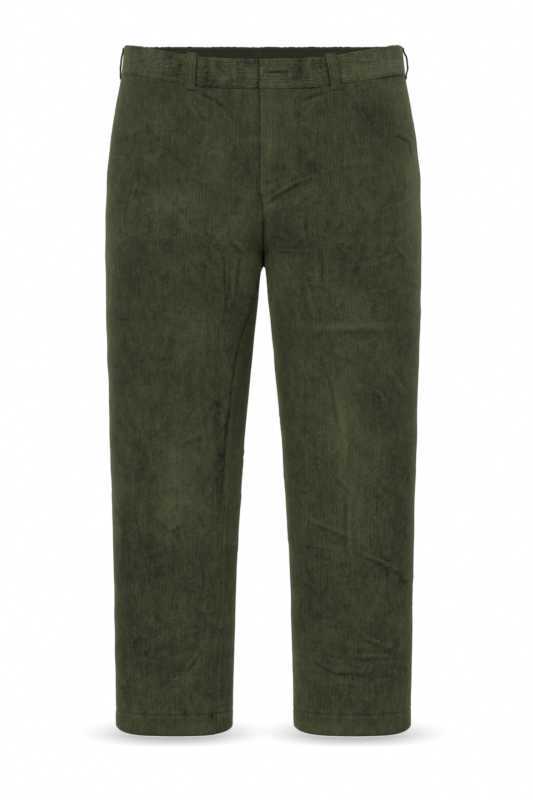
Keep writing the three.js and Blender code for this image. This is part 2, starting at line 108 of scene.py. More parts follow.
# Finer creases of each panel: width, height, then x and z of each point, with x outwards from the centre.
# A negative height is a trough, and the cloth stands up a little beside it.
CREASES = {
    ("left", "front"): [
        (2.2, 0.9, 73, -290, 77, -318, 75, -348), (2.2, -0.9, 79, -286, 83, -316, 82, -346),
        (1.8, -1, 0, -214, 11, -210, 19, -203), (1.8, 0.9, 9, -200, 26, -195, 40, -188),
        (1.8, -0.9, 7, -186, 18, -193, 22, -202), (1.8, 0.9, 18, -234, 37, -220, 51, -214),
        (1.8, 0.8, 172, -150, 188, -167), (1.8, -0.8, 197, -171, 201, -195, 196, -220),
        (2, -1.2, 116, -863, 141, -868), (2, 1.2, 95, -879, 116, -884), (2, -1.2, 172, -870, 195, -861),
        (2, 1.3, 155, -916, 184, -908), (2, -1, 84, -866, 95, -876), (1.8, -1, 18, -270, 35, -279),
        (1.8, 0.9, 28, -307, 40, -326), (2, 1, 154, -672, 180, -686), (2, -1, 46, -643, 58, -666),
        (2.5, -1.8, 1, -229, 21, -215, 43, -201, 65, -193), (2, 1.1, 4, -223, 23, -209, 46, -196, 63, -188),
        (1.8, -1.2, 1, -195, 12, -195), (2.2, 0.8, 1, -203, 8, -203), (2.2, 1, 2, -231, 3, -237),
        (1.8, -1.2, 5, -238, 2, -245, 6, -252), (1.8, -1, 2, -245, 4, -253),
        (1.8, 0.8, 131, -145, 169, -146), (1.8, 0.8, 12, -290, 73, -291),
        (2.2, 1, 91, -305, 122, -308, 155, -309, 184, -298), (2.2, -1.2, 182, -284, 199, -308),
        (2.2, 1.1, 57, -329, 64, -350, 70, -382),
        (3.4, -0.8, 69, -410, 88, -406, 111, -408, 136, -404, 164, -407, 194, -404),
        (3.6, 0.6, 69, -401, 94, -397, 122, -399, 153, -395, 192, -396),
        (2.3, -1.3, 81, -442, 96, -484, 104, -532, 116, -586), (3.6, 1.2, 110, -504, 116, -600),
        (2.2, -1.2, 156, -490, 170, -508), (1.8, 0.9, 163, -487, 176, -504), (2, 1, 177, -456, 204, -494),
        (1.8, -0.8, 172, -461, 196, -498), (1.8, -0.9, 67, -559, 71, -572, 74, -559),
        (1.8, -1, 123, -590, 123, -568, 127, -559, 132, -568, 133, -590),
        (2.3, -1.6, 116, -640, 118, -679, 117, -720), (2.5, 1, 124, -643, 124, -715),
        (2.3, -1.6, 65, -682, 95, -693, 127, -706), (2, 1, 69, -676, 97, -687, 130, -700),
        (2.2, -1.2, 53, -716, 80, -719, 107, -723), (2.3, -1.6, 133, -726, 166, -740, 196, -758),
        (2, 1, 137, -721, 169, -735, 197, -749), (2, -1.8, 136, -879, 182, -879),
        (2, -2, 77, -887, 102, -902, 131, -902, 151, -905, 162, -896), (2, -1.7, 142, -850, 168, -861),
        (2, 1.5, 138, -873, 181, -873), (2, 1.2, 145, -844, 170, -856), (2, 1.5, 106, -889, 128, -894),
        (2, 1.4, 126, -884, 155, -889), (2, -1.2, 107, -916, 138, -921), (2, 1.2, 89, -899, 109, -909),
        (1.8, -1.2, 180, -132, 190, -130, 205, -139, 209, -157), (2.3, -1.2, 90, -70, 68, -77, 51, -84),
        (2, 0.8, 89, -65, 68, -72, 54, -79), (2.2, -0.9, 52, -765, 78, -786),
        (2.2, 0.8, 169, -786, 189, -818), (2.2, -0.8, 83, -815, 123, -827), (2, 0.8, 46, -360, 52, -402),
        (2, -0.8, 150, -360, 181, -368), (2, 0.8, 52, -444, 69, -490),
    ],
    ("left", "back"): [
        (6, -2.4, 12, -250, 60, -272, 118, -284), (6, -2.2, 24, -312, 84, -322, 150, -318),
        (7, -1.8, 190, -210, 170, -262, 160, -330), (6, -2, 80, -632, 128, -642, 178, -628),
        (7, -1.8, 92, -700, 150, -720), (6, -1.8, 84, -884, 130, -900, 170, -896),
        (6, -1.4, 70, -76, 64, -110),
    ],
    ("right", "front"): [
        (2.2, -1.1, 55, -296, 54, -330, 53, -362), (2, 0.9, 45, -306, 44, -362),
        (2, -0.9, 36, -306, 39, -360), (1.8, -0.9, 201, -262, 190, -273), (1.8, -0.9, 131, -307, 117, -318),
        (1.8, 0.9, 109, -293, 95, -307), (1.8, -1, 42, -270, 27, -280, 16, -276),
        (1.8, 0.9, 45, -276, 30, -287), (2, 0.9, 146, -498, 123, -507), (2, -0.9, 109, -527, 95, -515),
        (2, 1, 93, -660, 81, -686), (2, -0.9, 183, -672, 175, -712), (2, -0.9, 110, -766, 84, -778),
        (2.3, -1.3, 94, -70, 72, -81, 58, -89, 40, -109), (2, 0.8, 88, -67, 67, -77, 52, -86),
        (1.8, -1, 178, -67, 172, -77), (1.6, -1, 212, -155, 188, -156),
        (1.8, -1.2, 185, -157, 179, -170, 174, -198, 183, -220), (1.8, -1, 212, -224, 194, -224),
        (1.8, 0.7, 199, -234, 194, -279), (1.8, 1, 193, -274, 160, -262), (2, -1.1, 158, -319, 157, -333),
        (1.6, 0.8, 52, -227, 52, -265), (1.6, 0.8, 72, -279, 72, -302), (1.8, 1, 76, -312, 82, -336),
        (1.8, 1, 50, -305, 51, -349), (2, -1.4, 34, -302, 38, -350), (1.6, -0.6, 124, -251, 62, -251),
        (2.2, 1.2, 119, -565, 88, -550), (2.3, -1.1, 116, -572, 85, -558), (1.8, 0.8, 157, -620, 157, -637),
        (1.8, 0.8, 168, -655, 157, -667), (2.2, -1, 156, -811, 153, -822), (2.3, -1.4, 115, -900, 95, -884),
        (2.2, 1.2, 80, -847, 117, -902, 149, -928), (2, 0.8, 102, -844, 130, -884),
        (2, -0.8, 191, -423, 182, -430), (2, 0.8, 199, -447, 188, -461, 180, -484),
        (2.2, 0.9, 139, -643, 131, -653), (2.3, -0.8, 50, -354, 58, -402), (2.2, 0.8, 69, -402, 71, -442),
        (2, -0.8, 94, -253, 83, -265), (2.2, -0.8, 172, -729, 161, -772), (2.2, -0.8, 90, -729, 84, -786),
        (2.3, -0.9, 176, -873, 140, -884),
    ],
    ("right", "back"): [
        (6, -2.4, 10, -246, 58, -266, 108, -276), (6, -2.2, 30, -318, 92, -330, 158, -326),
        (7, -1.8, 188, -220, 172, -268, 164, -322), (6, -2, 78, -640, 120, -636, 176, -650),
        (7, -1.8, 98, -716, 150, -706), (6, -2, 86, -902, 128, -892, 172, -908),
        (6, -1.4, 72, -78, 66, -114),
    ],
}

# Nap patches and painted light and shade on each panel, lighter (+) or darker (-): x, z, half width, half
# height, amount
NAP_AND_PAINTED_LIGHT_PATCHES = {
    ("left", "front"): [
        (207, -178, 11, 25, 1.1), (11, -227, 10, 7, 1.6), (5, -150, 8, 85, 1), (130, -395, 68, 7, 1.2),
        (89, -642, 20, 20, -1.5), (115, -501, 20, 85, 0.8), (110, -552, 8, 56, 1.4),
        (52, -283, 48, 28, -0.8), (19, -307, 20, 23, 1.9), (25, -346, 14, 31, 1.2),
        (151, -600, 23, 42, 0.8), (66, -801, 20, 56, -0.7), (155, -786, 28, 42, 0.7),
        (163, -109, 28, 28, -0.7), (39, -858, 17, 150, 2.3), (121, -593, 17, 84, 1.1),
        (66, -600, 49, 112, 0.7), (87, -430, 75, 75, 0.5), (144, -672, 26, 37, 0.7),
        (145, -786, 34, 52, -0.8), (132, -861, 26, 26, 0.8), (212, -199, 14, 84, 1.5),
        (194, -81, 22, 56, 1.1), (100, -984, 95, 12, 1.8), (219, -195, 7, 60, 1.2), (20, -150, 17, 19, 1),
        (20, -206, 17, 19, 0.6), (153, -301, 22, 26, 0.6),
    ],
    ("left", "back"): [
        (110, -170, 60, 60, 0.6), (130, -560, 30, 60, 0.5),
    ],
    ("right", "front"): [
        (128, -646, 28, 59, 1.7), (124, -220, 42, 21, 1.5), (199, -696, 6, 45, -1.4),
        (210, -696, 6, 48, 1.1), (64, -552, 6, 107, -1.9), (183, -220, 4, 6, 1.4), (154, -817, 6, 7, -1),
        (19, -307, 20, 23, 1.9), (24, -346, 14, 31, 1.2), (169, -589, 23, 42, -1), (89, -402, 34, 42, 0.8),
        (119, -815, 37, 51, 0.5), (158, -109, 28, 23, 0.8), (75, -965, 2, 6, -2.4), (38, -916, 15, 94, 1.8),
        (147, -844, 49, 131, -0.7), (118, -565, 34, 75, 0.9), (119, -984, 112, 12, 1.4),
        (219, -250, 7, 25, -1), (162, -245, 37, 41, 0.5), (36, -270, 26, 52, 0.7), (194, -67, 22, 37, 0.5),
    ],
    ("right", "back"): [
        (59, -947, 12, 2, 1.6), (59, -955, 12, 2, 1.6), (59, -959, 12, 2, 1.6), (59, -966, 12, 2, 1.6),
        (57, -971, 12, 2, 1.6), (112, -176, 60, 60, 0.6), (126, -640, 30, 60, 0.5),
    ],
}

# Soft dents (-) and swellings (+) of the waistband: x, z, half width, half height, amount
# The dents are also painted darker and the swellings lighter: painted shade and highlight
BAND_MARKS = {
    "left": [
        (-2, -43.9, 2.2, 4.9, 2.2), (16, -48, 5.6, 1.7, 1), (37, -46.7, 1.9, 5.6, 0.9),
        (51, -42.5, 4.2, 12.5, -1.5), (55, -26.7, 2.8, 4.2, -0.8), (29, -57.7, 5.6, 3.5, -0.9),
        (69, -34.3, 3.5, 5.6, -0.8), (72, -48, 1.7, 5.6, 0.7), (104, -41.2, 3.1, 15.3, -1.1),
        (139, -24.6, 16.7, 1.7, 1), (149, -42.5, 27.8, 11.1, 0.7), (183, -34.3, 11.1, 16.7, 0.6),
        (18, -40, 15.3, 1.3, 1.1), (18, -43.1, 15.3, 1.3, -1.6), (43, -31.5, 4.2, 9.7, 0.5),
        (7, -28.7, 5.6, 6.9, 0.4),
    ],
    "right": [
        (116, -41.2, 5.6, 16.7, -1.5), (131, -17.7, 4.2, 6.9, -0.9), (167, -39.8, 3.5, 9.7, -0.7),
        (158, -43.9, 1.8, 12.5, -0.8), (145, -28.7, 8.3, 12.5, 0.9), (77, -42.5, 3.5, 13.9, -1.2),
        (70, -35.6, 4.2, 8.3, 0.8), (60, -34.3, 4.2, 6.9, -1), (48, -35.6, 4.9, 12.5, -1.4),
        (46, -56.3, 4.2, 8.3, -1.1), (34, -53.6, 4.2, 13.9, -0.7), (55, -56.3, 2.8, 8.3, 0.8),
        (17, -28.7, 2.1, 8.3, 0.9), (96, -26, 4.2, 13.9, 0.6), (84, -26, 4.2, 11.1, 0.5),
        (178, -26, 6.9, 13.9, 0.5),
    ],
}


def smooth(low, high, value):
    u = np.clip((value - low) / (high - low), 0.0, 1.0)
    return u * u * (3 - 2 * u)


def bell(distance, width):
    return np.exp(-(distance / width) ** 2)


def patch(across, width, along_z, height):
    return np.exp(-(across / width) ** 2 - (along_z / height) ** 2)


def curve(rows, column, z):
    """A column of a table at the heights z, on a smooth curve that never swings past its rows."""
    zs = np.array([r[0] for r in rows], float)
    vs = np.array([r[column] for r in rows], float)
    rise = np.diff(vs) / np.diff(zs)
    slope = np.zeros(len(zs))
    for j in range(1, len(zs) - 1):
        if rise[j - 1] * rise[j] > 0:
            slope[j] = 2 * rise[j - 1] * rise[j] / (rise[j - 1] + rise[j])
    z = np.asarray(z, float)
    i = np.clip(np.searchsorted(zs, z, side="left") - 1, 0, len(zs) - 2)
    span = zs[i + 1] - zs[i]
    u = np.clip((z - zs[i]) / span, 0, 1)
    a, b = vs[i], vs[i + 1]
    start, end = slope[i] * span, slope[i + 1] * span
    return a + u * start + u * u * (3 * (b - a) - 2 * start - end) + u ** 3 * (2 * (a - b) + start + end)


def inner_edge(face, z):
    z = np.asarray(z, float)
    scoop = FRONT_SCOOP if face == "front" else BACK_SCOOP
    rest = np.clip(1 - (z - CROTCH) / scoop, 0, 1)
    share = (1 - rest ** SCOOP_ROUNDNESS) ** (1 / SCOOP_ROUNDNESS)
    reach = (1 - share ** SQUARENESS) ** (1 / SQUARENESS)
    above = -curve(SECTIONS, 1, z) * (1 - reach) / (1 + reach)
    return np.where(z <= CROTCH, curve(SECTIONS, 2, z), above)


def half_section(face, z):
    """Half a level section of the +X side, from its inner end to the side seam."""
    outer = float(curve(SECTIONS, 1, z))
    depth = float(curve(SECTIONS, 3 if face == "front" else 4, z)) * (-1 if face == "front" else 1)
    inner = float(np.mean(inner_edge(face, z + NEAR_MEAN * np.arange(-4, 5) / 4)))
    if z <= JOIN:
        inner = float(inner_edge(face, z))
    mean = float(np.mean(inner_edge(face, z + WIDE_MEAN * np.arange(-4, 5) / 4)))
    angle = np.pi * np.arange(SECTION_STEPS + 1) / SECTION_STEPS
    c = np.cos(angle)
    flatter = float(smooth(-215, -265, z) * (1 - smooth(-330, -470, z))) if face == "front" else 0.0
    square = np.where(c > 0, SQUARENESS + 0.75 * flatter, SQUARENESS)
    oval = (outer + mean) / 2 - (outer - mean) / 2 * np.sign(c) * np.abs(c) ** (2 / square)
    x = oval + (inner - mean) * ((outer - oval) / (outer - mean)) ** 6
    y = depth * np.maximum(np.sin(angle), 0) ** (2 / square)
    first = int(np.argmax(x >= 0))
    if first > 0 and z > JOIN:
        u = -x[first - 1] / (x[first] - x[first - 1])
        x = np.concatenate([[0.0], x[first:]])
        y = np.concatenate([[y[first - 1] + u * (y[first] - y[first - 1])], y[first:]])
    return x, y


# The sections are kept as a table over height and over the share of the running length, which starts at
# the front inner end, passes the side seam and ends at the back inner end.
Z_TABLE = np.unique(np.concatenate([
    np.arange(-1024, -320, 4.0), np.arange(-320, -295, 1.0), np.linspace(-295, -288, 57),
    np.arange(-287.5, -246, 0.5), np.arange(-246, 48, 3.0)]))
T_LOW, T_HIGH, T_COUNT = -0.2, 1.2, 1401
T_TABLE = np.linspace(T_LOW, T_HIGH, T_COUNT)
XY = np.zeros((len(Z_TABLE), T_COUNT, 2))
TOTAL, SEAM_AT, GRAIN_FRONT, GRAIN_BACK = (np.zeros(len(Z_TABLE)) for _ in range(4))
for k, level in enumerate(Z_TABLE):
    fx, fy = half_section("front", level)
    bx, by = half_section("back", level)
    px, py = np.concatenate([fx, bx[::-1][1:]]), np.concatenate([fy, by[::-1][1:]])
    run = np.concatenate([[0], np.cumsum(np.hypot(np.diff(px), np.diff(py)))])
    TOTAL[k], SEAM_AT[k] = run[-1], run[len(fx) - 1]
    GRAIN_FRONT[k] = np.interp(GRAIN_X, fx, run[:len(fx)])
    GRAIN_BACK[k] = run[-1] - np.interp(GRAIN_X, bx, run[-1] - run[::-1][:len(bx)])
    t = T_TABLE.copy()
    sign = np.ones(T_COUNT)
    if level > JOIN:
        sign[(t < 0) | (t > 1)] = -1
        t = np.where(t < 0, -t, np.where(t > 1, 2 - t, t))
    else:
        t = t % 1.0
    XY[k, :, 0] = sign * np.interp(t * run[-1], run, px)
    XY[k, :, 1] = np.interp(t * run[-1], run, py)


def total_at(z):
    return np.interp(z, Z_TABLE, TOTAL)


def side_at(z):
    return np.interp(z, Z_TABLE, SEAM_AT)


def place(z, t):
    """Points of the section surface at heights z and shares t of the running length."""
    z, t = np.broadcast_arrays(np.asarray(z, float), np.asarray(t, float))
    k = np.clip(np.searchsorted(Z_TABLE, z, side="right") - 1, 0, len(Z_TABLE) - 2)
    w = np.clip((z - Z_TABLE[k]) / (Z_TABLE[k + 1] - Z_TABLE[k]), 0, 1)[..., None]
    f = np.clip((t - T_LOW) / (T_HIGH - T_LOW) * (T_COUNT - 1), 0, T_COUNT - 1.001)
    i = f.astype(int)
    v = (f - i)[..., None]
    low = XY[k, i] * (1 - v) + XY[k, i + 1] * v
    high = XY[k + 1, i] * (1 - v) + XY[k + 1, i + 1] * v
    return np.concatenate([low * (1 - w) + high * w, z[..., None]], axis=-1)


def unit(v):
    return v / np.maximum(np.linalg.norm(v, axis=-1, keepdims=True), 1e-9)


def surface(leg, z, s, out):
    """Points of one leg's outer form at the height z and running length s, moved out of it."""
    z, s, out = np.broadcast_arrays(np.asarray(z, float), np.asarray(s, float), np.asarray(out, float))
    total = total_at(z)
    t = s / total
    across = place(z, t + 1 / total) - place(z, t - 1 / total)

    def grain_at(height):
        return np.where(s < side_at(z), np.interp(height, Z_TABLE, GRAIN_FRONT),
                        np.interp(height, Z_TABLE, GRAIN_BACK))

    here = s - grain_at(z)
    above = place(z + 1, (here + grain_at(z + 1)) / total_at(z + 1))
    up = above - place(z - 1, (here + grain_at(z - 1)) / total_at(z - 1))
    p = place(z, t) + unit(np.cross(across, up)) * out[..., None]
    held = ((z >= JOIN) & (s >= 0) & (s <= total)) | ((z < JOIN) & (z > PART))
    apart = WEDGE * smooth(WEDGE_TOP, WEDGE_FULL, z) * (s < side_at(z))
    p[..., 0] = np.where(held, np.maximum(p[..., 0], apart), p[..., 0]) * SIDE[leg]
    return p


def along(points, x, z):
    """Distance of (x, z) from a line of points, the side of it, and the share along it."""
    pts = np.asarray(points, float)
    seg = np.diff(pts, axis=0)
    size = np.hypot(seg[:, 0], seg[:, 1])
    run = np.concatenate([[0], np.cumsum(size)])
    best = np.full(x.shape, 1e9)
    turn, share = np.zeros(x.shape), np.zeros(x.shape)
    for i, (dx, dz) in enumerate(seg):
        u = np.clip(((x - pts[i, 0]) * dx + (z - pts[i, 1]) * dz) / size[i] ** 2, 0, 1)
        ax, az = x - pts[i, 0] - u * dx, z - pts[i, 1] - u * dz
        d = np.hypot(ax, az)
        near = d < best
        best = np.where(near, d, best)
        turn = np.where(near, (dx * az - dz * ax) / size[i], turn)
        share = np.where(near, (run[i] + u * size[i]) / run[-1], share)
    return best, turn, share


def small_creases(leg, face):
    """Short creases of worn cloth, closest at the crotch, the knees and the hems."""
    rng = np.random.default_rng({"left": 5, "right": 11}[leg] + {"front": 0, "back": 40}[face])
    made = []
    for z0, spread, count, lean in ((-250, 45, 24, 0.6), (-345, 70, 26, 0.9), (-150, 60, 8, 1.0),
                                    (-560, 80, 30, 1.0), (-690, 70, 18, 0.7), (-880, 60, 22, 0.5)):
        for _ in range(count):
            x, z = rng.uniform(12, 212), z0 + spread * rng.normal()
            angle = lean * rng.uniform(-1.4, 1.4)
            half = rng.uniform(7, 24)
            bend = rng.uniform(-0.35, 0.35)
            dx, dz = half * math.cos(angle), half * math.sin(angle)
            points = [(x - dx, z - dz), (x - bend * dz, z + bend * dx), (x + dx, z + dz)]
            made.append((rng.uniform(1.9, 3.4), rng.choice([-1, -1, 1]) * rng.uniform(0.3, 0.9), points))
    return made


def relief(leg, face, z, s):
    """Height of folds, creases and soft waves, eased out towards the seams, and that of the creases."""
    total, side = total_at(z), side_at(z)
    x = place(z, s / total)[..., 0]
    broad, fine = np.zeros(x.shape), np.zeros(x.shape)
    for x1, z1, x2, z2, width, height in FOLDS[leg, face]:
        d, _, u = along([(x1, z1), (x2, z2)], x, z)
        broad += height * (0.35 + 0.65 * np.sin(np.pi * u)) * bell(d, width)
    placed = [(width, height, list(zip(xz[::2], xz[1::2]))) for width, height, *xz in CREASES[leg, face]]
    for width, height, points in placed + small_creases(leg, face):
        reach = 5 * width
        xs, zs = [p[0] for p in points], [p[1] for p in points]
        near = (x > min(xs) - reach) & (x < max(xs) + reach) & (z > min(zs) - reach) & (z < max(zs) + reach)
        if not near.any():
            continue
        d, turn, u = along(points, x[near], z[near])
        taper = 0.3 + 0.7 * np.sin(np.pi * u) ** 0.7
        lip = patch(turn - 1.9 * width, 1.3 * width, d - np.abs(turn), width)
        fine[near] += height * taper * (bell(d, width) - 0.6 * lip)
    k = {"left": 0.0, "right": 2.1}[leg] + {"front": 0.0, "back": 1.3}[face]
    wave = 0.7 * np.sin(x / 23 + z / 61 + k) * np.sin(z / 37 + 1.7 * k)
    wave += 0.45 * np.sin(x / 11 - z / 29 + 2 * k) * np.sin(z / 19 + x / 41 + k)
    wave += 0.25 * np.sin(z / 8.5 + x / 13 + 3 * k) * np.sin(x / 17 + 0.6 * k)
    to_seam = np.minimum(np.minimum(np.abs(s), np.abs(total - s)), np.abs(s - side))
    fine = fine * smooth(0, 6, to_seam)
    if face == "front":
        fine = fine - 4.0 * bell(s, 2.6) * smooth(-244, -262, z) * (z > JOIN)
    return broad * smooth(0, 22, to_seam) + fine + wave * smooth(0, 6, to_seam), fine


# Nap patches of a panel together with its painted light and shade
def nap_and_painted_light(leg, face, z, s):
    x = place(z, s / total_at(z))[..., 0]
    value = np.zeros(x.shape)
    for x0, z0, a, b, amount in NAP_AND_PAINTED_LIGHT_PATCHES[leg, face]:
        value += amount * patch(x - x0, a, z - z0, b)
    return value


def band_top(point, z):
    """Height of the band's top edge over a point of the section at z: it dips in front, rises behind."""
    outward = np.minimum(np.abs(point[..., 0]) / curve(SECTIONS, 1, z), 1)
    inward = 1 - outward ** TOP_ROUNDNESS
    return np.where(point[..., 1] < 0, -DIP_FRONT * inward ** TOP_FRONT, RISE_BACK * inward ** TOP_BACK)


def edges(leg, face, z):
    total, side = total_at(z), side_at(z)
    roll = curve(INSEAM_ROLL, 1, z) if leg == "right" else np.zeros(np.shape(z))
    if face == "front":
        lap = LAP * smooth(-227, -206, z) if leg == "left" else 0
        share = np.clip((z - MOUTH_BOTTOM) / (MOUTH_TOP - MOUTH_BOTTOM), 0, 1)
        return roll - lap, side - MOUTH_GAPE * np.sin(np.pi * share) ** 2
    return total + roll, side


def fly_sink(leg, face, z, s):
    if (leg, face) != ("right", "front"):
        return np.zeros(np.shape(s))
    return FLY_SINK * smooth(-252, -230, z) * (1 - smooth(FLY_REACH * 0.3, FLY_REACH, s))


def tilted(level, point):
    """Height of a row of a panel: the upper rows follow the slope of the waist seam."""
    rise = np.clip((level - HIP_START) / (-BAND_HEIGHT - HIP_START), 0, None)
    return level + rise ** 2 * (band_top(point, level) - SEAM)


def mesh_object(name, verts, faces, materials, picks, smooth_faces, attributes):
    mesh = bpy.data.meshes.new(name)
    mesh.from_pydata([tuple(v) for v in np.asarray(verts) * MM], [], faces)
    for material in materials:
        mesh.materials.append(material)
    mesh.polygons.foreach_set("material_index", picks)
    mesh.polygons.foreach_set("use_smooth", smooth_faces)
    for key, values in attributes.items():
        layer = mesh.attributes.new(key, "FLOAT", "POINT")
        layer.data.foreach_set("value", np.asarray(values, np.float32))
    mesh.update()
    obj = bpy.data.objects.new(name, mesh)
    bpy.context.scene.collection.objects.link(obj)
    return obj


def shell(name, outer, keep, coarse, inner, flip, materials, attributes):
    """A closed wall. outer is a grid of points whose columns at the two ends are its edges. Where keep is
    false, the grid's point joins the nearer edge. inner is the inside grid, on the columns in coarse."""
    rows, cols = keep.shape
    ids = np.full((rows, cols), -1)
    ids[keep] = np.arange(keep.sum())
    position = np.arange(cols)
    for r in range(rows):
        middle = position[1:-1][keep[r, 1:-1]]
        first = middle[0] if len(middle) else cols - 1
        gap = ~keep[r]
        ids[r, gap & (position < first)] = ids[r, 0]
        ids[r, gap & (position >= first)] = ids[r, -1]
    base = int(keep.sum())
    keep_in = keep[:, coarse]
    ids_in = np.full(keep_in.shape, -1)
    ids_in[keep_in] = base + np.arange(keep_in.sum())
    for r in range(rows):
        for i in range(len(coarse)):
            if not keep_in[r, i]:
                ids_in[r, i] = ids_in[r, 0] if ids[r, coarse[i]] == ids[r, 0] else ids_in[r, -1]
    verts = np.concatenate([outer[keep], inner[keep_in]])
    faces, picks, smooth_faces = [], [], []

    def add(loop, pick, is_smooth):
        clean = [v for i, v in enumerate(loop) if v != loop[i - 1]]
        if len(set(clean)) == len(clean) and len(clean) > 2:
            faces.append(clean[::-1] if flip else clean)
            picks.append(pick)
            smooth_faces.append(is_smooth)

    a, b, c, d = (g.ravel().tolist() for g in (ids[:-1, :-1], ids[:-1, 1:], ids[1:, 1:], ids[1:, :-1]))
    for loop in zip(a, b, c, d):
        if loop[0] != loop[1] or loop[2] != loop[3]:
            add(loop, 0, True)
    a, b, c, d = (g.ravel().tolist() for g in
                  (ids_in[:-1, :-1], ids_in[1:, :-1], ids_in[1:, 1:], ids_in[:-1, 1:]))
    for loop in zip(a, b, c, d):
        if loop[0] != loop[3] or loop[1] != loop[2]:
            add(loop, 1, True)
    for r in range(rows - 1):
        add([ids[r, 0], ids[r + 1, 0], ids_in[r + 1, 0], ids_in[r, 0]], 0, False)
        add([ids[r, -1], ids_in[r, -1], ids_in[r + 1, -1], ids[r + 1, -1]], 0, False)
    for i in range(len(coarse) - 1):
        run = range(coarse[i], coarse[i + 1] + 1)
        add([ids_in[0, i], ids_in[0, i + 1]] + [ids[0, j] for j in reversed(run)], 0, False)
        add([ids[-1, j] for j in run] + [ids_in[-1, i + 1], ids_in[-1, i]], 0, False)
    packed = {}
    for key, (values, inside) in attributes.items():
        packed[key] = np.concatenate([values[keep], np.full(int(keep_in.sum()), inside)])
    return mesh_object(name, verts, faces, materials, picks, smooth_faces, packed)


# Materials

def node(tree, kind, **values):
    made = tree.nodes.new(kind)
    for key, value in values.items():
        if key.startswith("in_"):
            made.inputs[key[3:].replace("_", " ")].default_value = value
        else:
            setattr(made, key, value)
    return made


def noise(tree, vector, scale, detail, rough=0.5, stretch=(1, 1, 1)):
    mapping = node(tree, "ShaderNodeMapping")
    mapping.inputs["Scale"].default_value = stretch
    tree.links.new(vector, mapping.inputs["Vector"])
    made = node(tree, "ShaderNodeTexNoise", in_Scale=scale, in_Detail=detail, in_Roughness=rough)
    tree.links.new(mapping.outputs["Vector"], made.inputs["Vector"])
    return made.outputs["Fac"]


def ramp(tree, value, low, high, to_low=0.0, to_high=1.0):
    made = node(tree, "ShaderNodeMapRange")
    for key, number in (("From Min", low), ("From Max", high), ("To Min", to_low), ("To Max", to_high)):
        made.inputs[key].default_value = number
    tree.links.new(value, made.inputs["Value"])
    return made.outputs["Result"]


def calc(tree, operation, a, b):
    made = node(tree, "ShaderNodeMath", operation=operation)
    for socket, value in zip(made.inputs, (a, b)):
        if isinstance(value, (int, float)):
            socket.default_value = value
        else:
            tree.links.new(value, socket)
    return made.outputs["Value"]


def srgb(r, g, b):
    return tuple((c / 255 / 12.92 if c / 255 <= 0.04045 else ((c / 255 + 0.055) / 1.055) ** 2.4)
                 for c in (r, g, b)) + (1.0,)


def new_material(name):
    material = bpy.data.materials.new(name)
    material.use_nodes = True
    return material, material.node_tree, material.node_tree.nodes["Principled BSDF"]


def attribute(tree, name):
    return node(tree, "ShaderNodeAttribute", attribute_name=name).outputs["Fac"]


def blend(tree, level, dark, light):
    mix = node(tree, "ShaderNodeMix", data_type="RGBA")
    mix.inputs["A"].default_value = dark
    mix.inputs["B"].default_value = light
    tree.links.new(level, mix.inputs["Factor"])
    return mix.outputs["Result"]


def bump(tree, height, strength, distance, below=None):
    made = node(tree, "ShaderNodeBump", in_Strength=strength, in_Distance=distance)
    tree.links.new(height, made.inputs["Height"])
    if below:
        tree.links.new(below, made.inputs["Normal"])
    return made.outputs["Normal"]


def wrinkles(tree, where, turn):
    """Fine creases in one direction: a raised line with a sunk one beside it."""
    turned = node(tree, "ShaderNodeMapping")
    turned.inputs["Rotation"].default_value = (0, turn, 0)
    tree.links.new(where, turned.inputs["Vector"])
    value = noise(tree, turned.outputs["Vector"], 46, 2.5, 0.5, (1, 1, 0.36))
    crest = calc(tree, "MINIMUM", ramp(tree, value, 0.475, 0.5), ramp(tree, value, 0.5, 0.525, 1, 0))
    trough = calc(tree, "MINIMUM", ramp(tree, value, 0.52, 0.545), ramp(tree, value, 0.545, 0.57, 1, 0))
    return calc(tree, "SUBTRACT", crest, trough)


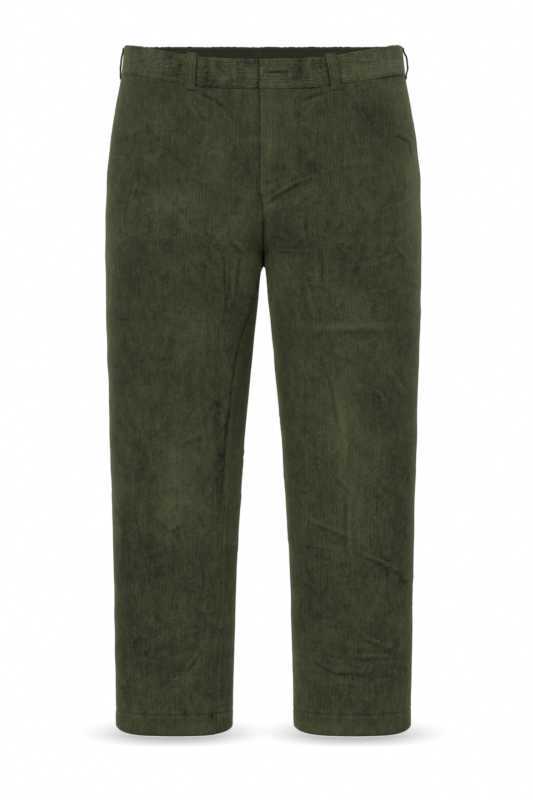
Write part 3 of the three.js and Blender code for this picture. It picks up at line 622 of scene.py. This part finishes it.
def corduroy(name, dark, light, along_axis, rib_low, rib_high, grain):
    """Pile cloth: ribs with painted shade in their grooves, brushed patches, short tufts, painted light and
    shade.
    """
    material, tree, shader = new_material(name)
    where = node(tree, "ShaderNodeTexCoord").outputs["Object"]
    tuft = (1, 1, 0.35) if along_axis == "z" else (0.35, 0.35, 1)
    long_way = (1, 1, 0.1) if along_axis == "z" else (0.1, 0.1, 1)
    patches = ramp(tree, noise(tree, where, 13, 4, 0.6), 0.3, 0.7, -0.15, 0.15)
    brushed = ramp(tree, noise(tree, where, 90, 3, 0.65, (1, 1, 0.7)), 0.3, 0.7, -0.15, 0.15)
    streaks = ramp(tree, noise(tree, where, 330, 2, 0.5, long_way), 0.3, 0.7, -0.1, 0.1)
    grainy = ramp(tree, noise(tree, where, 430, 3, 0.75), 0.25, 0.75, -grain, grain)
    shown = ramp(tree, noise(tree, where, 38, 2, 0.6), 0.35, 0.65, rib_low, rib_high)
    # Rib crowns are painted lighter and grooves darker: painted shade in the grooves
    painted_rib_shading = calc(tree, "MULTIPLY", calc(tree, "SUBTRACT", attribute(tree, "wale"), 0.6), shown)
    creased = ramp(tree, noise(tree, where, 24, 2, 0.6), 0.46, 0.6)
    # Fine crease lines, raised in the bump and painted into the colour: painted highlight on the crest,
    # painted shade in the trough
    lines = calc(tree, "ADD", wrinkles(tree, where, 0.8), wrinkles(tree, where, -1.1))
    lines = calc(tree, "MULTIPLY", lines, calc(tree, "MULTIPLY", creased, attribute(tree, "worn")))
    level = calc(tree, "ADD", calc(tree, "ADD", painted_rib_shading, 0.42), patches)
    # Flecks of painted rim highlight and worn pile along the sides of the legs
    rub_and_painted_rim_flecks = ramp(tree, noise(tree, where, 210, 2, 0.7, (1, 1, 0.6)), 0.35, 0.65, -0.06, 0.15)
    rub_and_painted_rim_flecks = calc(tree, "MULTIPLY", rub_and_painted_rim_flecks, attribute(tree, "rub_and_painted_rim_light"))
    for part in (brushed, streaks, grainy, calc(tree, "MULTIPLY", lines, 0.09), rub_and_painted_rim_flecks):
        level = calc(tree, "ADD", level, part)
    # Painted light and shade of each piece, with its nap patches, read from the mesh attribute
    level = calc(tree, "ADD", level, calc(tree, "MULTIPLY", attribute(tree, "nap_and_painted_light"), 0.16))
    tree.links.new(blend(tree, level, dark, light), shader.inputs["Base Color"])
    fuzz = noise(tree, where, 1500, 3, 0.7, tuft)
    folded = bump(tree, lines, 0.45, 0.0008)
    tree.links.new(bump(tree, fuzz, 0.5, 0.0004, folded), shader.inputs["Normal"])
    shader.inputs["Roughness"].default_value = 0.95
    shader.inputs["Specular IOR Level"].default_value = 0.15
    shader.inputs["Sheen Weight"].default_value = 0.26
    shader.inputs["Sheen Roughness"].default_value = 0.35
    shader.inputs["Sheen Tint"].default_value = srgb(205, 210, 150)
    return material


def woven(name, dark, light, scale, rough=0.9, sheen=0.1):
    """Plain woven cloth, tape or thread."""
    material, tree, shader = new_material(name)
    where = node(tree, "ShaderNodeTexCoord").outputs["Object"]
    warp = noise(tree, where, scale, 2, 0.5, (1, 1, 0.12))
    weft = noise(tree, where, scale, 2, 0.5, (0.12, 0.12, 1))
    threads = calc(tree, "MULTIPLY", warp, weft)
    patches = ramp(tree, noise(tree, where, 20, 2), 0.3, 0.7, -0.15, 0.15)
    level = calc(tree, "ADD", ramp(tree, threads, 0.12, 0.4), patches)
    tree.links.new(blend(tree, level, dark, light), shader.inputs["Base Color"])
    tree.links.new(bump(tree, threads, 0.5, 0.0003), shader.inputs["Normal"])
    shader.inputs["Roughness"].default_value = rough
    shader.inputs["Sheen Weight"].default_value = sheen
    return material


def metal(name, colour):
    material, tree, shader = new_material(name)
    where = node(tree, "ShaderNodeTexCoord").outputs["Object"]
    brushed = noise(tree, where, 900, 2, 0.5, (0.05, 1, 1))
    tree.links.new(ramp(tree, brushed, 0.3, 0.7, 0.28, 0.45), shader.inputs["Roughness"])
    tree.links.new(bump(tree, brushed, 0.15, 0.0001), shader.inputs["Normal"])
    shader.inputs["Base Color"].default_value = colour
    shader.inputs["Metallic"].default_value = 1
    return material


LEG_CORD = corduroy("corduroy", srgb(22, 24, 14), srgb(66, 69.5, 46.5), "z", 0.05, 0.45, 0.33)
# The band's corduroy is a lighter copy of the legs': painted light for the band's brighter look
BAND_CORD = corduroy("corduroy_band", srgb(22, 24, 15), srgb(77, 80.5, 56), "xy", 0.1, 0.5, 0.42)
# The inside cloth is coloured darker than the outer cloth: painted shade for the garment's inside
INSIDE = woven("inside_cloth", srgb(21, 22.5, 6), srgb(36, 39, 13), 900, 0.9, 0.0)
TAPE = woven("zip_tape", srgb(28, 30, 22), srgb(52, 54, 42), 1200)
THREAD = woven("thread", srgb(44, 46, 32), srgb(70, 72, 52), 2500, 0.7)
STEEL = metal("hook_steel", srgb(150, 150, 146))


# Leg panels

def row_levels(step):
    """Heights of a panel's rows: step apart down the leg, closer at the hem, its seam and the crotch."""
    hem_seam = -OUTSEAM + HEM_HEIGHT
    return np.concatenate([
        -OUTSEAM + np.array([0, 1.0, 2.4, 5.0]), np.arange(-OUTSEAM + 8, hem_seam - 3, step),
        hem_seam + np.array([-2.2, -0.9, 0.2, 1.3, 2.6]), np.arange(hem_seam + 5, PART - 4, step),
        [-318.5, -316.5, -314.5, -312, -309, -306, -303, -300, -297.5],
        JOIN + np.array([-2.5, -1, -0.3, 0.1, 0.5, 1.2, 2.2, 3.5, 5, 7, 9, 11.5, 14, 16.5, 19]),
        np.arange(JOIN + 21.5, HIP_START - 1, 2.7), np.linspace(HIP_START, -BAND_HEIGHT, 66)])


def hem_lift(z, x):
    """Height the hem's edge is raised by: more at the leg's two sides, where it rounds off."""
    inner, outer = curve(SECTIONS, 2, z), curve(SECTIONS, 1, z)
    across = np.clip(np.abs(2 * x - inner - outer) / (outer - inner), 0, 1)
    return (HEM_LIFT + HEM_CORNER_LIFT * across ** 6) * (1 - smooth(0, HEM_LIFT_REACH, z + OUTSEAM))


def panel(leg, face):
    name = f"{face}_{leg}"
    grain_table = GRAIN_FRONT if face == "front" else GRAIN_BACK
    levels = row_levels(ROW_STEP[face])
    inner_s, side_s = edges(leg, face, levels)

    def grain(z):
        return np.interp(z, Z_TABLE, grain_table)

    low = (np.minimum(inner_s, side_s) - grain(levels)).min()
    high = (np.maximum(inner_s, side_s) - grain(levels)).max()
    step = WALE / len(WALE_PROFILE)
    j = np.arange(math.floor(low / step), math.ceil(high / step) + 1)
    level = np.repeat(levels[:, None], len(j) + 2, axis=1)

    def columns(z):
        """Running lengths of the grid's points, which follow the ribs, and those of the panel's edges."""
        a, b = edges(leg, face, z)
        lo, hi = np.minimum(a, b), np.maximum(a, b)
        s = np.empty(z.shape)
        s[:, 0], s[:, -1] = lo[:, 0], hi[:, -1]
        s[:, 1:-1] = grain(z)[:, 1:-1] + j * step
        return s, lo, hi

    s, lo, hi = columns(level)
    z = tilted(level, place(level, np.clip(s, lo, hi) / total_at(level)))
    s, lo, hi = columns(z)
    keep = (s > lo + 0.5) & (s < hi - 0.5)
    keep[:, 0] = keep[:, -1] = True
    s = np.clip(s, lo, hi)
    up = level + OUTSEAM
    on_hem = up - HEM_HEIGHT
    to_edge = np.minimum(s - lo, hi - s)
    ribs = np.zeros(s.shape)
    ribs[:, 1:-1] = WALE_PROFILE[j % len(WALE_PROFILE)]

    # Ribs fade at the edges and along the hem's seam. Edges are rolled over, and the seam puckers the hem.
    pressed = smooth(0.3, 2.6, to_edge) * (1 - 0.75 * bell(on_hem, 1.6))
    heights, fine = relief(leg, face, z, s)
    out = heights - fly_sink(leg, face, z, s)
    crushed = 0.72 + 0.28 * np.sin(s / 19 + z / 33) * np.sin(z / 14 - s / 27)
    out += ribs * WALE_HEIGHT * pressed * crushed
    out += 0.7 * bell(to_edge - 4.5, 2.6) - 0.45 * bell(to_edge, 1.4)
    out -= 0.5 * bell(on_hem, 1.8) + 0.9 * (1 - smooth(0, 2.6, up))
    pucker = np.sin(s / 3.1) + 0.6 * np.sin(s / 5.3 + 1)
    out += 0.22 * pucker * bell(on_hem, 5.0)
    outer = surface(leg, z, s, out)

    # The inside is plain and has one column for every two ribs
    thick = np.where(level < HEM_HEIGHT - OUTSEAM, HEM_CLOTH, CLOTH)
    inner = surface(leg, z, s, out - ribs * WALE_HEIGHT * pressed * crushed - thick)
    lift = hem_lift(z, np.abs(outer[..., 0]))
    outer[..., 2] += lift
    inner[..., 2] += lift
    coarse = [0] + [i + 1 for i, n in enumerate(j) if n % 6 == 0] + [len(j) + 1]

    # Painted light and shade, with the nap patches: edges, hem, crease crests and troughs, inseam, fly and
    # crotch
    shade = nap_and_painted_light(leg, face, z, s) + 0.5 * bell(to_edge, 2.2) + 0.6 * bell(up, 2.5)
    # Crease crests are painted lighter and troughs darker, with painted shade beside each panel edge
    shade += np.clip(fine, -1.3, 1.3) - 0.5 * bell(to_edge - 7, 2.5)
    # Painted shade in the hem's seam line, and painted highlights on the puckers either side of it
    shade -= 0.7 * bell(on_hem, 1.2)
    shade += (0.8 + 0.8 * pucker) * (bell(on_hem - 3.4, 1.8) + bell(on_hem + 3.2, 1.8))
    # Painted highlight along the rolled inseam, with painted shade beside it
    if (leg, face) == ("right", "front"):
        along_seam = smooth(-660, -600, z) * (1 - smooth(-330, -300, z))
        shade += along_seam * (3.4 * bell(to_edge, 1.9) - 2.0 * bell(s - lo - 6, 3.4))
    if face == "front":
        # Painted highlight on the fly's lap edge, and painted shadow on the right front beside it
        fly = smooth(-246, -232, z)
        if leg == "left":
            shade += fly * (2.2 * bell(to_edge, 1.6) * (s < 5) + 0.5 * (1 - smooth(8, 14, s)))
        else:
            shade -= fly * 0.9 * bell(s - 5.2, 1.4)
        # Painted shade: a dark wedge between the thighs, with the hollow beside it painted lighter
        wedge = smooth(-330, -318, z) * (1 - smooth(-268, -252, z))
        shade += wedge * (2.2 * bell(s - 10, 5.5) - 4.0 * bell(s, 2.9))
    worn = 0.3 + 0.7 * sum(bell(z - at, spread) for at, spread in WORN_AT)
    worn = np.clip(worn + 0.5 * bell(np.abs(s - side_at(z)), 22), 0, 1)
    # Painted highlight along the sides of the legs, a rim of light on the pile, mixed with worn pile
    rub_and_painted_rim_light = bell(curve(SECTIONS, 1, z) - np.abs(outer[..., 0]), 8)
    obj = shell(name + "_cloth", outer, keep, coarse, inner[:, coarse], SIDE[leg] < 0, [LEG_CORD, INSIDE],
                {"wale": (ribs * pressed, 0.5), "nap_and_painted_light": (shade, 0.0), "worn": (worn, 0.0),
                 "rub_and_painted_rim_light": (rub_and_painted_rim_light, 0.0)})
    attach(obj, "root")
    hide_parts(name)


for leg in ("left", "right"):
    for face in ("front", "back"):
        panel(leg, face)

# Waistband

WAIST_Z = -BAND_HEIGHT / 2
WAIST_TOTAL, WAIST_SIDE = float(total_at(WAIST_Z)), float(side_at(WAIST_Z))
REAR_LOOP = (WAIST_SIDE + WAIST_TOTAL) / 2
CENTRE_BACK = WAIST_TOTAL

# Uneven heights along the running length of each half of the band: those of its dents and of its top edge
UNEVEN = {}
for index, key in enumerate((("left", "dents"), ("left", "top"), ("right", "dents"), ("right", "top"))):
    draw = np.random.default_rng(60 + index)
    spots = np.arange(-1100, 500, 2.6)
    short = draw.normal(0, 0.6, len(spots))
    UNEVEN[key] = (spots, short + np.interp(spots, spots[::6], draw.normal(0, 0.7, len(spots[::6]))))


def waist_length(x):
    """Running length on the band at the distance x from the middle of the front."""
    s = np.linspace(0, WAIST_SIDE, 1500)
    return float(np.interp(x, place(WAIST_Z, s / WAIST_TOTAL)[:, 0], s))


def loop_places(leg):
    return [waist_length(sum(FRONT_LOOPS[leg]) / 2), WAIST_SIDE, REAR_LOOP, CENTRE_BACK]


def band_wave(leg, up, s):
    """Soft upright waves of the band between the loops, and its dents and swellings."""
    k = 0.0 if leg == "left" else 1.9
    calm = np.ones(np.shape(s))
    for spot in loop_places(leg):
        calm = calm * (1 - bell(s - spot, 12))
    calm = calm * smooth(6, 22, s)
    wave = 0.5 * np.sin(s / 8.5 + k) + 0.35 * np.sin(s / 4.9 + 2 * k + up * 1.5)
    spot = place(WAIST_Z, s / WAIST_TOTAL)
    z = band_top(spot, WAIST_Z) - BAND_HEIGHT * (1 - up)
    marks = np.zeros(np.shape(z))
    for x0, z0, a, b, amount in BAND_MARKS[leg]:
        marks += amount * patch(spot[..., 0] - x0, a, z - z0, b) * (spot[..., 1] < 0)
    dents = np.convolve(np.interp(s[:, 0], *UNEVEN[leg, "dents"]), [0.25, 0.5, 0.25], "same")[:, None]
    even = 1 - 0.85 * smooth(90, 112, s) if leg == "left" else 1.2
    marks += 0.45 * even * calm * dents * (0.4 + 0.6 * up)
    return wave * calm * np.minimum(even, 1) * (0.45 + 0.55 * up), marks


def band_point(leg, up, s, out):
    up, s, out = np.broadcast_arrays(np.asarray(up, float), np.asarray(s, float), np.asarray(out, float))
    z = band_top(place(WAIST_Z, s / WAIST_TOTAL), WAIST_Z) - BAND_HEIGHT + BAND_HEIGHT * up
    return surface(leg, z, s * total_at(z) / WAIST_TOTAL, out)


def band(leg):
    name = f"waistband_{leg}"
    start = -LAP - 1 if leg == "left" else -UNDERLAP
    cells = BAND_WALES * len(WALE_PROFILE)
    ups = np.concatenate([[0.0], (np.arange(cells) + 0.5) / cells, [1.0]])
    ribs = np.concatenate([[0.0], WALE_PROFILE[np.arange(cells) % len(WALE_PROFILE)], [0.0]])
    s = np.linspace(start, CENTRE_BACK, BAND_COLUMNS)
    S, U = np.meshgrid(s, ups, indexing="ij")
    R = np.repeat(ribs[None, :], len(s), axis=0)
    sink = UNDERLAP_SINK * (1 - smooth(LAP * 1.5, UNDERLAP_REACH, S)) if leg == "right" else 0
    to_rim = np.minimum(U, 1 - U) * BAND_HEIGHT
    to_edge = np.minimum(to_rim, np.minimum(S - start, CENTRE_BACK - S))
    pressed = smooth(0.2, 2.4, to_edge) * (1 - 0.6 * bell(to_rim - 3, 1.0))
    wave, marks = band_wave(leg, U, S)
    flat = BAND_PROUD - sink + wave + 1.15 * marks
    flat = flat - 0.9 * (1 - smooth(0, 1.8, (1 - U) * BAND_HEIGHT))
    flat = flat - 0.5 * (1 - smooth(0, 1.6, U * BAND_HEIGHT))
    outer = band_point(leg, U, S, flat + R * WALE_HEIGHT * pressed)
    coarse = [0] + list(range(3, cells, 3)) + [cells + 1]
    inner = band_point(leg, U, S, BAND_PROUD - sink - BAND_CLOTH)
    uneven = 0.45 * np.interp(S, *UNEVEN[leg, "top"]) * U ** 3
    outer[..., 2] += uneven
    inner[..., 2] += uneven
    # Painted highlight along the band's top rim, and painted shade along its lower seam
    shade = 1.2 * bell((1 - U) * BAND_HEIGHT, 1.6) - 0.7 * bell(U * BAND_HEIGHT, 2.0)
    # The band's waves, dents and swellings are painted lighter and darker, as painted shade
    shade = shade + 0.7 * wave + 0.85 * marks
    top, bottom = (waist_length(x) for x in FRONT_LOOPS[leg])
    loop_share = (U * BAND_HEIGHT + LOOP_BELOW) / (BAND_HEIGHT + LOOP_BELOW + ABOVE_FRONT)
    beside = np.abs(S - bottom - (top - bottom) * loop_share) - LOOP_WIDTH / 2
    # Painted shadow beside the edges of each front loop
    shade = shade - 1.4 * bell(beside - 0.8, 1.3)
    # The band is painted lighter from the front loops round to the sides
    ahead = smooth(90, 112, S) * (1 - smooth(WAIST_SIDE - 8, WAIST_SIDE + 8, S))
    if leg == "left":
        # Painted highlight on the left band's lapped end
        shade = shade + 2.0 * bell(S - start, 1.6) + 0.55 * ahead
    else:
        # A darker patch near the front, and painted shadow beside the lapped end over the right band
        shade = shade + 0.5 * ahead - 0.8 * bell(S - 72, 17)
        shade = shade - 2.0 * bell(S - LAP - 2.6, 1.5)
    obj = shell(name + "_cloth", outer, np.ones(S.shape, bool), coarse, inner[:, coarse], SIDE[leg] > 0,
                [BAND_CORD, INSIDE],
                {"wale": (R * pressed, 0.5), "nap_and_painted_light": (shade, 0.0), "worn": (np.full(S.shape, 0.5), 0.0)})
    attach(obj, "root")
    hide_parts(name)


for leg in ("left", "right"):
    band(leg)

# Belt loops

def belt_loop(name, leg, s_top, s_bottom, above, most_bow=LOOP_BOW):
    length = LOOP_BELOW + BAND_HEIGHT + above
    rise = np.concatenate([[0, 0.015, 0.05], np.linspace(0.09, 0.92, 30), [0.95, 0.985, 1]])
    column = np.arange(LOOP_COLUMNS)
    across = np.concatenate([[-0.5], (column + 0.5) / LOOP_COLUMNS - 0.5, [0.5]])
    ribs = np.concatenate([[0.0], np.array([0.0, 0.8, 1.0, 0.8])[column % 4], [0.0]])
    Z, A = np.meshgrid(rise, across, indexing="ij")
    R = np.repeat(ribs[None, :], len(rise), axis=0)
    bow = most_bow * smooth(0.1, 0.36, Z) * (1 - smooth(0.64, 0.92, Z))
    foot = 1 - smooth(0.0, LOOP_BELOW / length, Z)
    under = SEAM * foot + (BAND_PROUD + SEAM + bow) * (1 - foot) + 0.55
    up = (length * Z - LOOP_BELOW) / BAND_HEIGHT
    s = s_bottom + (s_top - s_bottom) * Z + A * LOOP_WIDTH
    to_edge = np.minimum(0.5 - np.abs(A), 10) * LOOP_WIDTH
    ends = np.minimum(Z, 1 - Z) * length
    roll = 0.5 * (1 - smooth(0, 1.2, to_edge)) + 0.5 * (1 - smooth(0, 1.2, ends))
    pressed = smooth(0.1, 1.2, to_edge) * (1 - 0.7 * bell(to_edge - 2.2, 0.7)) * smooth(0, 2, ends)
    outer = band_point(leg, up, s, under + LOOP_CLOTH - 0.25 - roll + R * 0.25 * pressed)
    coarse = [0] + list(range(4, LOOP_COLUMNS, 4)) + [LOOP_COLUMNS + 1]
    inner = band_point(leg, up, s, under)[:, coarse]
    # Painted light: the loops are painted lighter, with painted highlights on their edges and painted shade
    # just inside
    shade = 1.3 + 1.0 * bell(to_edge, 1.2) - 0.8 * bell(to_edge - 2.6, 0.9)
    obj = shell(name + "_cloth", outer, np.ones(Z.shape, bool), coarse, inner, SIDE[leg] < 0,
                [LEG_CORD, INSIDE], {"wale": (0.35 + 0.4 * R * pressed, 0.5), "nap_and_painted_light": (shade, 0.0)})
    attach(obj, "root")
    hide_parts(name)


for leg in ("left", "right"):
    top, bottom = FRONT_LOOPS[leg]
    belt_loop(f"belt_loop_front_{leg}", leg, waist_length(top), waist_length(bottom), ABOVE_FRONT)
    belt_loop(f"belt_loop_side_{leg}", leg, WAIST_SIDE, WAIST_SIDE, ABOVE_SIDE, SIDE_BOW[leg])
    belt_loop(f"belt_loop_back_{leg}", leg, REAR_LOOP, REAR_LOOP, ABOVE_REAR)
belt_loop("belt_loop_centre_back", "left", CENTRE_BACK, CENTRE_BACK, ABOVE_REAR)

# Pieces behind the panels: zip, fly shield and pocket facings

GATHER, GATHER_HEIGHT = 4, 130.0


def column_length(leg, face, z, share):
    a, b = edges(leg, face, z)
    width = np.abs(b - a)
    a0, b0 = edges(leg, face, np.array(CROTCH))
    at_crotch = abs(float(b0 - a0))
    eased = at_crotch + (width - at_crotch) * smooth(CROTCH, CROTCH + GATHER_HEIGHT, z)
    full = np.where(z <= CROTCH, width, eased)
    from_side = (1 - share) * full - (full - width) * (1 - share) ** GATHER
    return b + from_side * np.sign(a - b)


def behind(leg, face, level, share, depth):
    s = column_length(leg, face, level, share)
    z = tilted(level, place(level, s / total_at(level)))
    s = column_length(leg, face, z, share)
    return surface(leg, z, s, relief(leg, face, z, s)[0] - fly_sink(leg, face, z, s) - depth)


def strip(name, levels, places, under, thick, flip, material):
    """A strip behind the panels. Each of the places is leg, face, share and extra depth."""

    def grid(depth):
        return np.stack([behind(leg, face, levels, np.full(len(levels), share), depth + extra)
                         for leg, face, share, extra in places], axis=1)

    outer, inner = grid(under), grid(under + thick)
    keep = np.ones(outer.shape[:2], bool)
    flat = np.full(keep.shape, 0.5)
    obj = shell(name + "_cloth", outer, keep, list(range(keep.shape[1])), inner, flip,
                [material, material], {"wale": (flat, 0.5), "nap_and_painted_light": (0 * flat, 0.0)})
    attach(obj, "root")
    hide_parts(name)


FLY_LEVELS = np.linspace(HIP_START + 5, -BAND_HEIGHT, 50)
ZIP_UNDER, ZIP_CLOTH = CLOTH + 0.5, 1.3
SHIELD_UNDER, SHIELD_CLOTH = FLY_SINK + CLOTH + 0.3, 1.6
strip("zip", FLY_LEVELS, [("left", "front", q, 0) for q in (0.026, 0.037, 0.048, 0.059, 0.07)],
      ZIP_UNDER, ZIP_CLOTH, False, TAPE)
strip("fly_shield", FLY_LEVELS,
      [("right", "front", 0.07, 0), ("right", "front", 0.0, -FLY_SINK), ("left", "front", 0.035, 0),
       ("left", "front", 0.07, 0), ("left", "front", 0.14, 0)],
      SHIELD_UNDER, SHIELD_CLOTH, False, INSIDE)
MOUTH_LEVELS = np.linspace(MOUTH_BOTTOM - 4, MOUTH_TOP + 14, 42)
for leg in ("left", "right"):
    places = [(leg, "front", q, 0) for q in (0.93, 0.95, 0.97, 0.985, 1.0)]
    places += [(leg, "back", q, 0) for q in (1.0, 0.985, 0.97)]
    strip(f"pocket_facing_{leg}", MOUTH_LEVELS, places, CLOTH + SEAM, 1.4, SIDE[leg] < 0, LEG_CORD)

# Hook and bar: the CAD plate with a brushed steel finish
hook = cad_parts["hook_and_bar"]
hook.data.materials.clear()
hook.data.materials.append(STEEL)

# Sewing: each stitch is a short thread lying on the cloth

def stitches(name, runs, size=2.4, gap=0.9, thick=0.28):
    """Each of the runs is the points along a seam and the outward directions there."""
    verts, faces = [], []
    for points, normals in runs:
        gaps = np.linalg.norm(np.diff(points, axis=0), axis=1)
        run = np.concatenate([[0], np.cumsum(gaps)])
        count = int((run[-1] - size) // (size + gap))
        for i in range(count):
            a = i * (size + gap)
            start, end = (np.array([np.interp(at, run, points[:, c]) for c in range(3)])
                          for at in (a, a + size))
            n = unit(np.array([np.interp(a + 0.5 * size, run, normals[:, c]) for c in range(3)]))
            sidewise = np.cross(unit(end - start), n)
            base = len(verts)
            verts.append(start - n * thick * 0.6)
            for q in (0.25, 0.75):
                mid = start + (end - start) * q
                for cs, cn in ((1, 0), (0, 1), (-1, 0), (0, -1)):
                    verts.append(mid + sidewise * cs * thick + n * (cn * thick * 0.8 + 0.55 * thick))
            verts.append(end - n * thick * 0.6)
            for q in range(4):
                r = (q + 1) % 4
                faces.append((base, base + 1 + r, base + 1 + q))
                faces.append((base + 1 + q, base + 1 + r, base + 5 + r, base + 5 + q))
                faces.append((base + 9, base + 5 + q, base + 5 + r))
    obj = mesh_object(name, verts, faces, [THREAD], [0] * len(faces), [True] * len(faces), {})
    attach(obj, "root")


def on_panel(leg, face, z, s, lift):
    """Points and outward directions on a panel's ribs along a line of heights and running lengths."""
    base = relief(leg, face, z, s)[0] - fly_sink(leg, face, z, s)
    p = surface(leg, z, s, base + lift)
    return p, unit(surface(leg, z, s, base + lift + 1) - p)


hem_runs = []
for leg in ("left", "right"):
    for face in ("front", "back"):
        zs = np.full(400, -OUTSEAM + HEM_HEIGHT)
        a, b = (float(v[0]) for v in edges(leg, face, zs[:1]))
        hem_runs.append(on_panel(leg, face, zs, np.linspace(min(a, b) + 1, max(a, b) - 1, 400), -0.2))
stitches("hem_stitching", hem_runs)

pocket_runs = []
for leg in ("left", "right"):
    zs = np.linspace(MOUTH_BOTTOM - 2, MOUTH_TOP + 2, 160)
    side = edges(leg, "front", zs)[1]
    pocket_runs.append(on_panel(leg, "front", zs, side - 6.5, 0.35))
stitches("pocket_stitching", pocket_runs)

# The fly's row of stitches runs down beside the edge and bends in to it below
FLY_ROW, FLY_ROW_TOP, FLY_BEND, FLY_BEND_END, FLY_BEND_REACH = 30.0, -68.0, -186.0, -214.0, 28.5
bend_z = np.linspace(FLY_BEND, FLY_BEND_END, 60)[1:]
bend_s = FLY_ROW * np.sqrt(np.clip(1 - ((bend_z - FLY_BEND) / FLY_BEND_REACH) ** 2, 0, 1))
zs = np.concatenate([np.linspace(FLY_ROW_TOP, FLY_BEND, 120), bend_z])
fly_s = np.concatenate([np.full(120, FLY_ROW), bend_s])
stitches("fly_stitching", [on_panel("left", "front", zs, fly_s, 0.35)])

# Camera, floor and light

CAMERA_AT, CAMERA_LENS = Vector((0.0045, -3.2, -0.245)), 99.64
CAMERA_TARGET = Vector((0.0045, 0, -0.508))
FLOOR_Z, FLOOR_SIDE, FLOOR_FAR = -0.9948, 9, 30

camera_data = bpy.data.cameras.new("camera")
camera_data.lens = CAMERA_LENS
camera_data.sensor_width = 36
camera_data.clip_end = 50
camera = bpy.data.objects.new("camera", camera_data)
camera.location = CAMERA_AT
camera.rotation_euler = (CAMERA_TARGET - CAMERA_AT).to_track_quat("-Z", "Y").to_euler()
bpy.context.scene.collection.objects.link(camera)
bpy.context.scene.camera = camera

# The floor emits an even white light. Ambient occlusion dims it near the hems: a painted contact shadow.
floor_material, floor_tree, floor_shader = new_material("floor")
floor_shader.inputs["Base Color"].default_value = (0.0, 0.0, 0.0, 1)
floor_shader.inputs["Specular IOR Level"].default_value = 0.0
floor_shader.inputs["Emission Color"].default_value = (1, 1, 1, 1)
# The occlusion is leaned back, so that the painted shadow reaches forward of the hems
painted_shadow_lean = node(floor_tree, "ShaderNodeCombineXYZ", in_X=0.0, in_Y=0.55, in_Z=0.83)
contact_shadow_occlusion = node(floor_tree, "ShaderNodeAmbientOcclusion", samples=16, in_Distance=0.06)
floor_tree.links.new(painted_shadow_lean.outputs[0], contact_shadow_occlusion.inputs["Normal"])
floor_emission_with_painted_shadow = ramp(floor_tree, contact_shadow_occlusion.outputs["AO"], 0, 1, 0.15, 1.0)
floor_tree.links.new(floor_emission_with_painted_shadow, floor_shader.inputs["Emission Strength"])
floor_shader.inputs["Roughness"].default_value = 0.9
floor_mesh = bpy.data.meshes.new("floor")
corners = ((-1, -FLOOR_SIDE), (1, -FLOOR_SIDE), (1, FLOOR_FAR), (-1, FLOOR_FAR))
floor_mesh.from_pydata([(side * FLOOR_SIDE, y, FLOOR_Z) for side, y in corners], [], [(0, 1, 2, 3)])
floor_mesh.materials.append(floor_material)
floor = bpy.data.objects.new("floor", floor_mesh)
bpy.context.scene.collection.objects.link(floor)

world = bpy.data.worlds.new("studio")
bpy.context.scene.world = world
world.use_nodes = True
sky = world.node_tree
backdrop = sky.nodes["Background"]
backdrop.inputs["Color"].default_value = (1, 1, 1, 1)
backdrop.inputs["Strength"].default_value = 1.0
dome = node(sky, "ShaderNodeBackground", in_Color=(1, 1, 1, 1), in_Strength=0.4)
pick = node(sky, "ShaderNodeMixShader")
for number, source in enumerate((node(sky, "ShaderNodeLightPath").outputs["Is Camera Ray"], dome.outputs[0],
                                 backdrop.outputs[0])):
    sky.links.new(source, pick.inputs[number])
sky.links.new(pick.outputs[0], sky.nodes["World Output"].inputs["Surface"])


def sun(name, towards, spread, strength):
    data = bpy.data.lights.new(name, "SUN")
    data.angle = math.radians(spread)
    data.energy = strength
    light = bpy.data.objects.new(name, data)
    light.rotation_euler = Vector(towards).to_track_quat("-Z", "Y").to_euler()
    bpy.context.scene.collection.objects.link(light)


sun("key", (0.36, 0.8, -0.8), 25, 2.1)
sun("fill", (-0.75, 0.6, -0.6), 40, 0.7)
sun("top", (-0.1, 0.35, -1.0), 50, 0.9)
sun("rear left", (-0.75, -0.6, -0.45), 30, 1.2)
sun("rear right", (0.75, -0.6, -0.45), 30, 1.2)

scene = bpy.context.scene
scene.view_settings.view_transform = "Standard"
scene.view_settings.look = "None"
scene.view_settings.exposure = 0
scene.view_settings.gamma = 1
